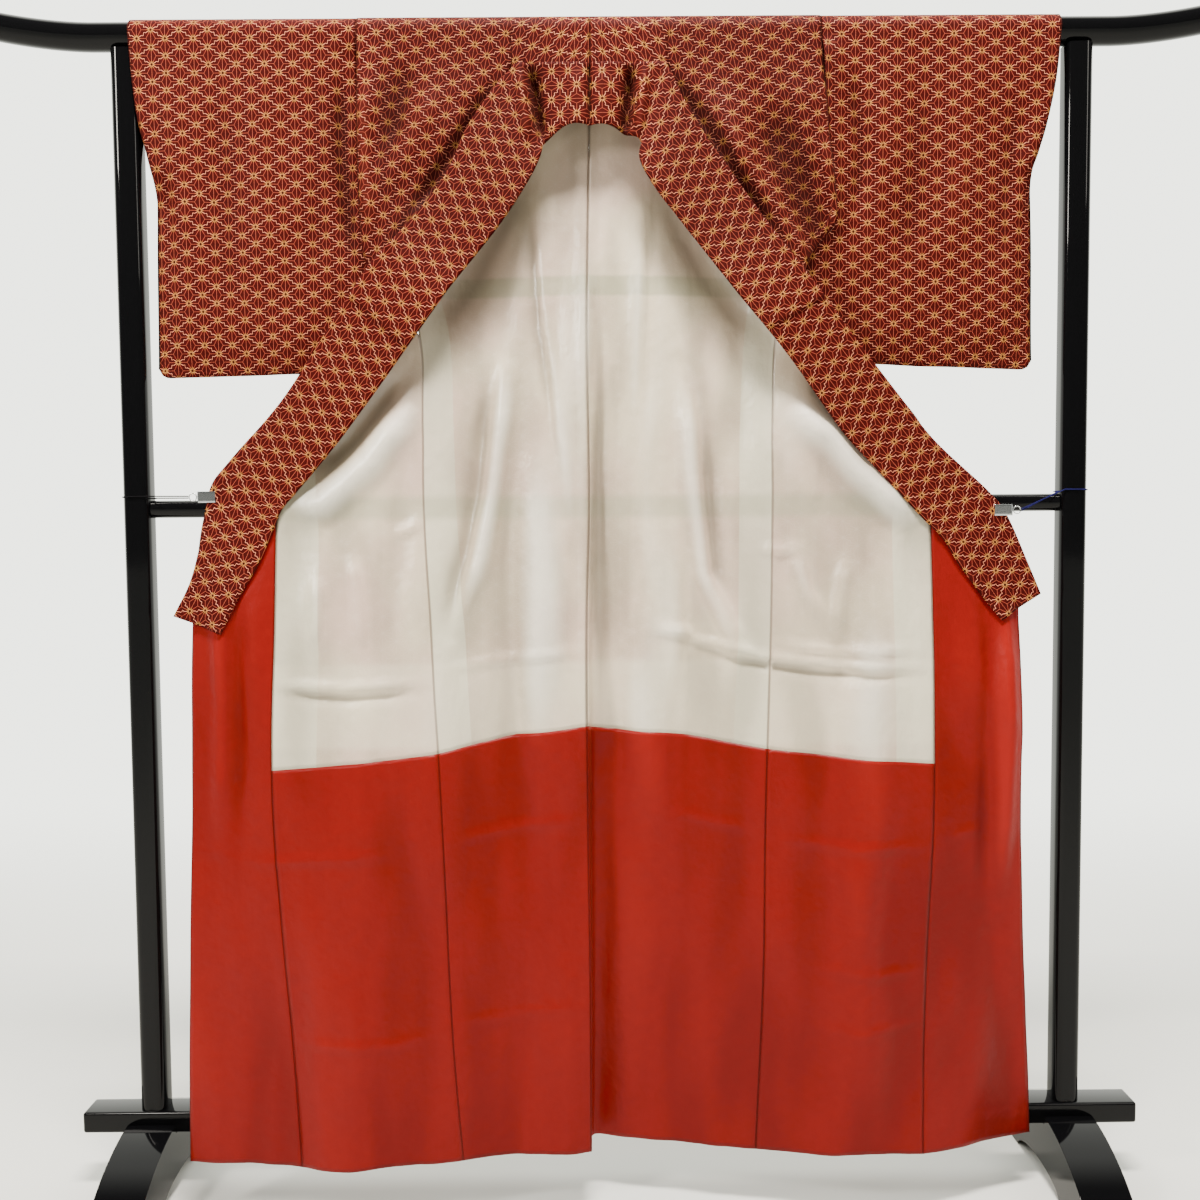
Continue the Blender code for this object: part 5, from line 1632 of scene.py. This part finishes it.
def make_clip(side, outward):
    """A clip bent from spring steel."""
    low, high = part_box(f"clip_{side}")
    x, z = CLIPS[side]
    near, away = low.y + CLIP_PLATE / 2, high.y - CLIP_PLATE / 2
    bend = (away - near) / 2
    middle = (away + near) / 2
    bm = bmesh.new()
    length = 2 * CLIP_REACH + pi * bend
    bmesh.ops.create_grid(bm, x_segments=CLIP_CELLS[0], y_segments=CLIP_CELLS[1], size=1.0)
    for vert in bm.verts:
        run = (vert.co.x + 1) / 2 * length
        if run < CLIP_REACH:
            u, y = run - CLIP_REACH, away
        elif run < CLIP_REACH + pi * bend:
            turn = pi / 2 - (run - CLIP_REACH) / bend
            u, y = bend * cos(turn), middle + bend * sin(turn)
        else:
            u, y = CLIP_REACH + pi * bend - run, near
        vert.co = Vector((x + outward * (u + CLIP_SET), y, z + vert.co.y * CLIP_HEIGHT / 2))
    clip = solid(f"sprung_clip_{side}", bm, "bright_steel", 60)
    wall = clip.modifiers.new("plate", "SOLIDIFY")
    wall.thickness = CLIP_PLATE * CLIP_SHARE
    wall.offset = 0.0
    soft = clip.modifiers.new("rounded", "BEVEL")
    soft.width = CLIP_ROUNDING
    soft.segments = 2
    dress(clip, f"clip_{side}", "bright_steel")


def make_ring(side):
    """The wire ring on a clip's end."""
    low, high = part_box(f"ring_{side}")
    centre = (low + high) / 2
    bm = bmesh.new()
    place = Matrix.Translation(centre + Vector((RING_R, 0, 0)))
    bmesh.ops.create_circle(bm, cap_ends=False, segments=RING_WIRE_SIDES, radius=RING_WIRE, matrix=place)
    bmesh.ops.spin(
        bm, geom=bm.verts[:] + bm.edges[:], cent=centre, axis=(0, 1, 0), angle=2 * pi, steps=RING_STEPS,
        use_merge=True, use_duplicate=False,
    )
    dress(solid(f"wire_ring_{side}", bm, "bright_steel"), f"ring_{side}", "bright_steel")


FLOOR_R = 40.0
FLOOR_SIDES = 96
# The room is dimmer behind the camera: between which two ways it brightens.
ROOM_RISE = (-0.10, 0.30)

# The camera: its focal length as a share of the picture's width, its yaw, pitch and roll, and its place.
SENSOR = 36.0
CAMERA_FOCUS = 1202.287 / 1200
CAMERA_TURN = (0.00422, 0.05559, -0.00805)
CAMERA_PLACE = (-0.01613, -1.67326, 0.91998)

# Each soft light: place, what it is aimed at, its size and its power.
LIGHTS = (
    ("soft light left", (-1.9, -1.5, 2.2), (0.0, 0.0, 0.85), (0.40, 0.5), 38.0),
    ("soft light right", (2.1, -1.6, 2.2), (0.0, 0.0, 0.9), (0.4, 0.6), 7.0),
    ("soft light above", (0.1, -1.20, 4.3), (0.0, 0.0, 0.75), (1.3, 0.5), 255.0),
)


def make_stage(settings):
    """The floor, the lights, the room's own light and the camera."""
    scene = bpy.context.scene
    bm = bmesh.new()
    bmesh.ops.create_circle(bm, cap_ends=True, segments=FLOOR_SIDES, radius=FLOOR_R)
    mesh_object("floor", bm, floor_finish(settings))
    for name, place, aim, size, power in LIGHTS:
        light = bpy.data.lights.new(name, "AREA")
        light.shape = "RECTANGLE"
        light.size, light.size_y = size
        light.energy = power * settings.light
        light.color = settings.light_colour[:]
        lamp = in_scene(name, light)
        lamp.matrix_world = Matrix.Translation(place) @ (
            (Vector(aim) - Vector(place)).to_track_quat("-Z", "Y").to_matrix().to_4x4()
        )
    world = bpy.data.worlds.new("room")
    world.use_nodes = True
    back = world.node_tree.nodes["Background"]
    sums = Sums(world.node_tree)
    way = sums.parts(sums.put("ShaderNodeTexCoord").outputs["Generated"])
    dim = tuple(c * settings.dim_side for c in settings.room)
    tint = sums.blend(sums.rise(way[1], *ROOM_RISE), (*dim, 1.0), (*settings.room[:], 1.0))
    sums.feed(back.inputs["Color"], tint)
    back.inputs["Strength"].default_value = 1.0
    scene.world = world
    lens = bpy.data.cameras.new("camera")
    lens.sensor_width = SENSOR
    lens.lens = SENSOR * CAMERA_FOCUS
    lens.dof.use_dof = False
    camera = in_scene("camera", lens)
    yaw, pitch, roll = CAMERA_TURN
    ahead = Vector((sin(yaw) * cos(pitch), cos(yaw) * cos(pitch), -sin(pitch)))
    right = ahead.cross(Vector((0, 0, 1))).normalized()
    up = right.cross(ahead)
    tilted_right = cos(roll) * right + sin(roll) * up
    tilted_up = -sin(roll) * right + cos(roll) * up
    place = Vector(CAMERA_PLACE)
    camera.matrix_world = Matrix((
        (tilted_right.x, tilted_up.x, -ahead.x, place.x),
        (tilted_right.y, tilted_up.y, -ahead.y, place.y),
        (tilted_right.z, tilted_up.z, -ahead.z, place.z),
        (0, 0, 0, 1),
    ))
    scene.camera = camera


def factor(name, description, default, highest=1.0):
    """A setting from nought to a highest factor."""
    return FloatProperty(
        name=name, description=description, default=default, min=0.0, max=highest, subtype="FACTOR"
    )


def colour_of_light(name, description, default, highest=1.0):
    """A setting for the colour of a light."""
    return FloatVectorProperty(
        name=name, description=description, default=default, size=3, min=0.0, max=highest, subtype="COLOR"
    )


class KimonoCloth(bpy.types.PropertyGroup):
    """The feel of the garment's cloths."""

    weave: FloatProperty(
        name="Weave depth", description="How deep the crepe weave is", default=0.00022, min=0.0, max=0.002,
        precision=5, unit="LENGTH",
    )
    roughness: factor("Crepe roughness", "How matt the patterned crepe is", 0.62)
    lining_roughness: factor("Lining roughness", "How matt the lining silk is", 0.36)
    gleam: factor("Gleam", "How strongly the cloths mirror light", 0.30)
    sheen: factor("Sheen", "How strongly the cloths' short fibres catch the light", 0.03)


class KimonoStand(bpy.types.PropertyGroup):
    """The finish of the stand."""

    edge_rounding: FloatProperty(
        name="Edge rounding", description="How far the rail's, plank's and feet's edges are rounded",
        default=0.003, min=0.0005, max=0.008, precision=4, unit="LENGTH",
    )
    lacquer_roughness: factor("Lacquer roughness", "How blurred reflections in the lacquer are", 0.06)


class KimonoStage(bpy.types.PropertyGroup):
    """The room the kimono is shown in."""

    light: factor("Light", "A factor on every soft light's power", 1.55, 10.0)
    light_colour: colour_of_light("Light colour", "The soft lights' colour", (1.0, 0.95, 0.87))
    dim_side: factor("Dim side", "How bright the room behind the camera is beside the room in front", 0.065)
    room: colour_of_light("Room", "The colour of the room's own light", (3.40, 3.45, 3.15), 4.0)


class KIMONO_OT_body(bpy.types.Operator):
    """Lay the body, its overlap panels and its linings"""

    bl_idname = "kimono.body"
    bl_label = "Lay the body and linings"

    def execute(self, context):
        lay_body_pieces()
        return {"FINISHED"}


class KIMONO_OT_sleeves(bpy.types.Operator):
    """Hang the two sleeves over the rail"""

    bl_idname = "kimono.sleeves"
    bl_label = "Hang the sleeves"

    def execute(self, context):
        lay_sleeve_pieces()
        return {"FINISHED"}


class KIMONO_OT_collar(bpy.types.Operator):
    """Lay the collar and the over-collar"""

    bl_idname = "kimono.collar"
    bl_label = "Lay the collar"

    def execute(self, context):
        lay_collar_pieces()
        return {"FINISHED"}


class KIMONO_OT_stand(bpy.types.Operator):
    """Build the lacquered stand"""

    bl_idname = "kimono.stand"
    bl_label = "Build the stand"

    def execute(self, context):
        settings = context.scene.kimono_stand
        make_rail(settings)
        make_posts()
        make_cross_rail()
        make_plank(settings)
        for side, x in (("left", -POST_X), ("right", POST_X)):
            make_foot(side, x, settings)
        return {"FINISHED"}


class KIMONO_OT_clips(bpy.types.Operator):
    """Set the clips and rings, and finish their cords"""

    bl_idname = "kimono.clips"
    bl_label = "Set the clips"

    def execute(self, context):
        for side, outward in (("left", -1), ("right", 1)):
            make_clip(side, outward)
            make_ring(side)
            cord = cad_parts[f"cord_{side}"]
            for slot in cord.material_slots:
                slot.material = finish(f"cord_{side}")
        return {"FINISHED"}


class KIMONO_OT_stage(bpy.types.Operator):
    """Set the floor, the lights and the camera"""

    bl_idname = "kimono.stage"
    bl_label = "Set the stage"

    def execute(self, context):
        make_stage(context.scene.kimono_stage)
        return {"FINISHED"}


class KIMONO_PT_panel(bpy.types.Panel):
    """Lists the kimono's settings and steps"""

    bl_idname = "KIMONO_PT_panel"
    bl_label = "Kimono"
    bl_space_type = "VIEW_3D"
    bl_region_type = "UI"
    bl_category = "Kimono"

    def draw(self, context):
        layout = self.layout
        scene = context.scene
        for heading, settings, names, operators in (
            ("Cloth", scene.kimono_cloth, ("weave", "roughness", "lining_roughness", "gleam", "sheen"),
             ("kimono.body", "kimono.sleeves", "kimono.collar")),
            ("Stand", scene.kimono_stand, ("edge_rounding", "lacquer_roughness"),
             ("kimono.stand", "kimono.clips")),
            ("Stage", scene.kimono_stage, ("light", "light_colour", "room", "dim_side"), ("kimono.stage",)),
        ):
            box = layout.box()
            box.label(text=heading)
            for name in names:
                box.prop(settings, name)
            for operator in operators:
                box.operator(operator)


CLASSES = (
    KimonoCloth, KimonoStand, KimonoStage,
    KIMONO_OT_body, KIMONO_OT_sleeves, KIMONO_OT_collar, KIMONO_OT_stand, KIMONO_OT_clips, KIMONO_OT_stage,
    KIMONO_PT_panel,
)


def register():
    """Registers the classes and the scene's settings."""
    for cls in CLASSES:
        bpy.utils.register_class(cls)
    bpy.types.Scene.kimono_cloth = PointerProperty(type=KimonoCloth)
    bpy.types.Scene.kimono_stand = PointerProperty(type=KimonoStand)
    bpy.types.Scene.kimono_stage = PointerProperty(type=KimonoStage)


def unregister():
    """Takes them away again."""
    for name in ("kimono_stage", "kimono_stand", "kimono_cloth"):
        delattr(bpy.types.Scene, name)
    for cls in reversed(CLASSES):
        bpy.utils.unregister_class(cls)


def main():
    """Builds everything in order."""
    register()
    bpy.ops.kimono.body()
    bpy.ops.kimono.sleeves()
    bpy.ops.kimono.collar()
    bpy.ops.kimono.stand()
    bpy.ops.kimono.clips()
    bpy.ops.kimono.stage()


if __name__ == "__main__":
    main()
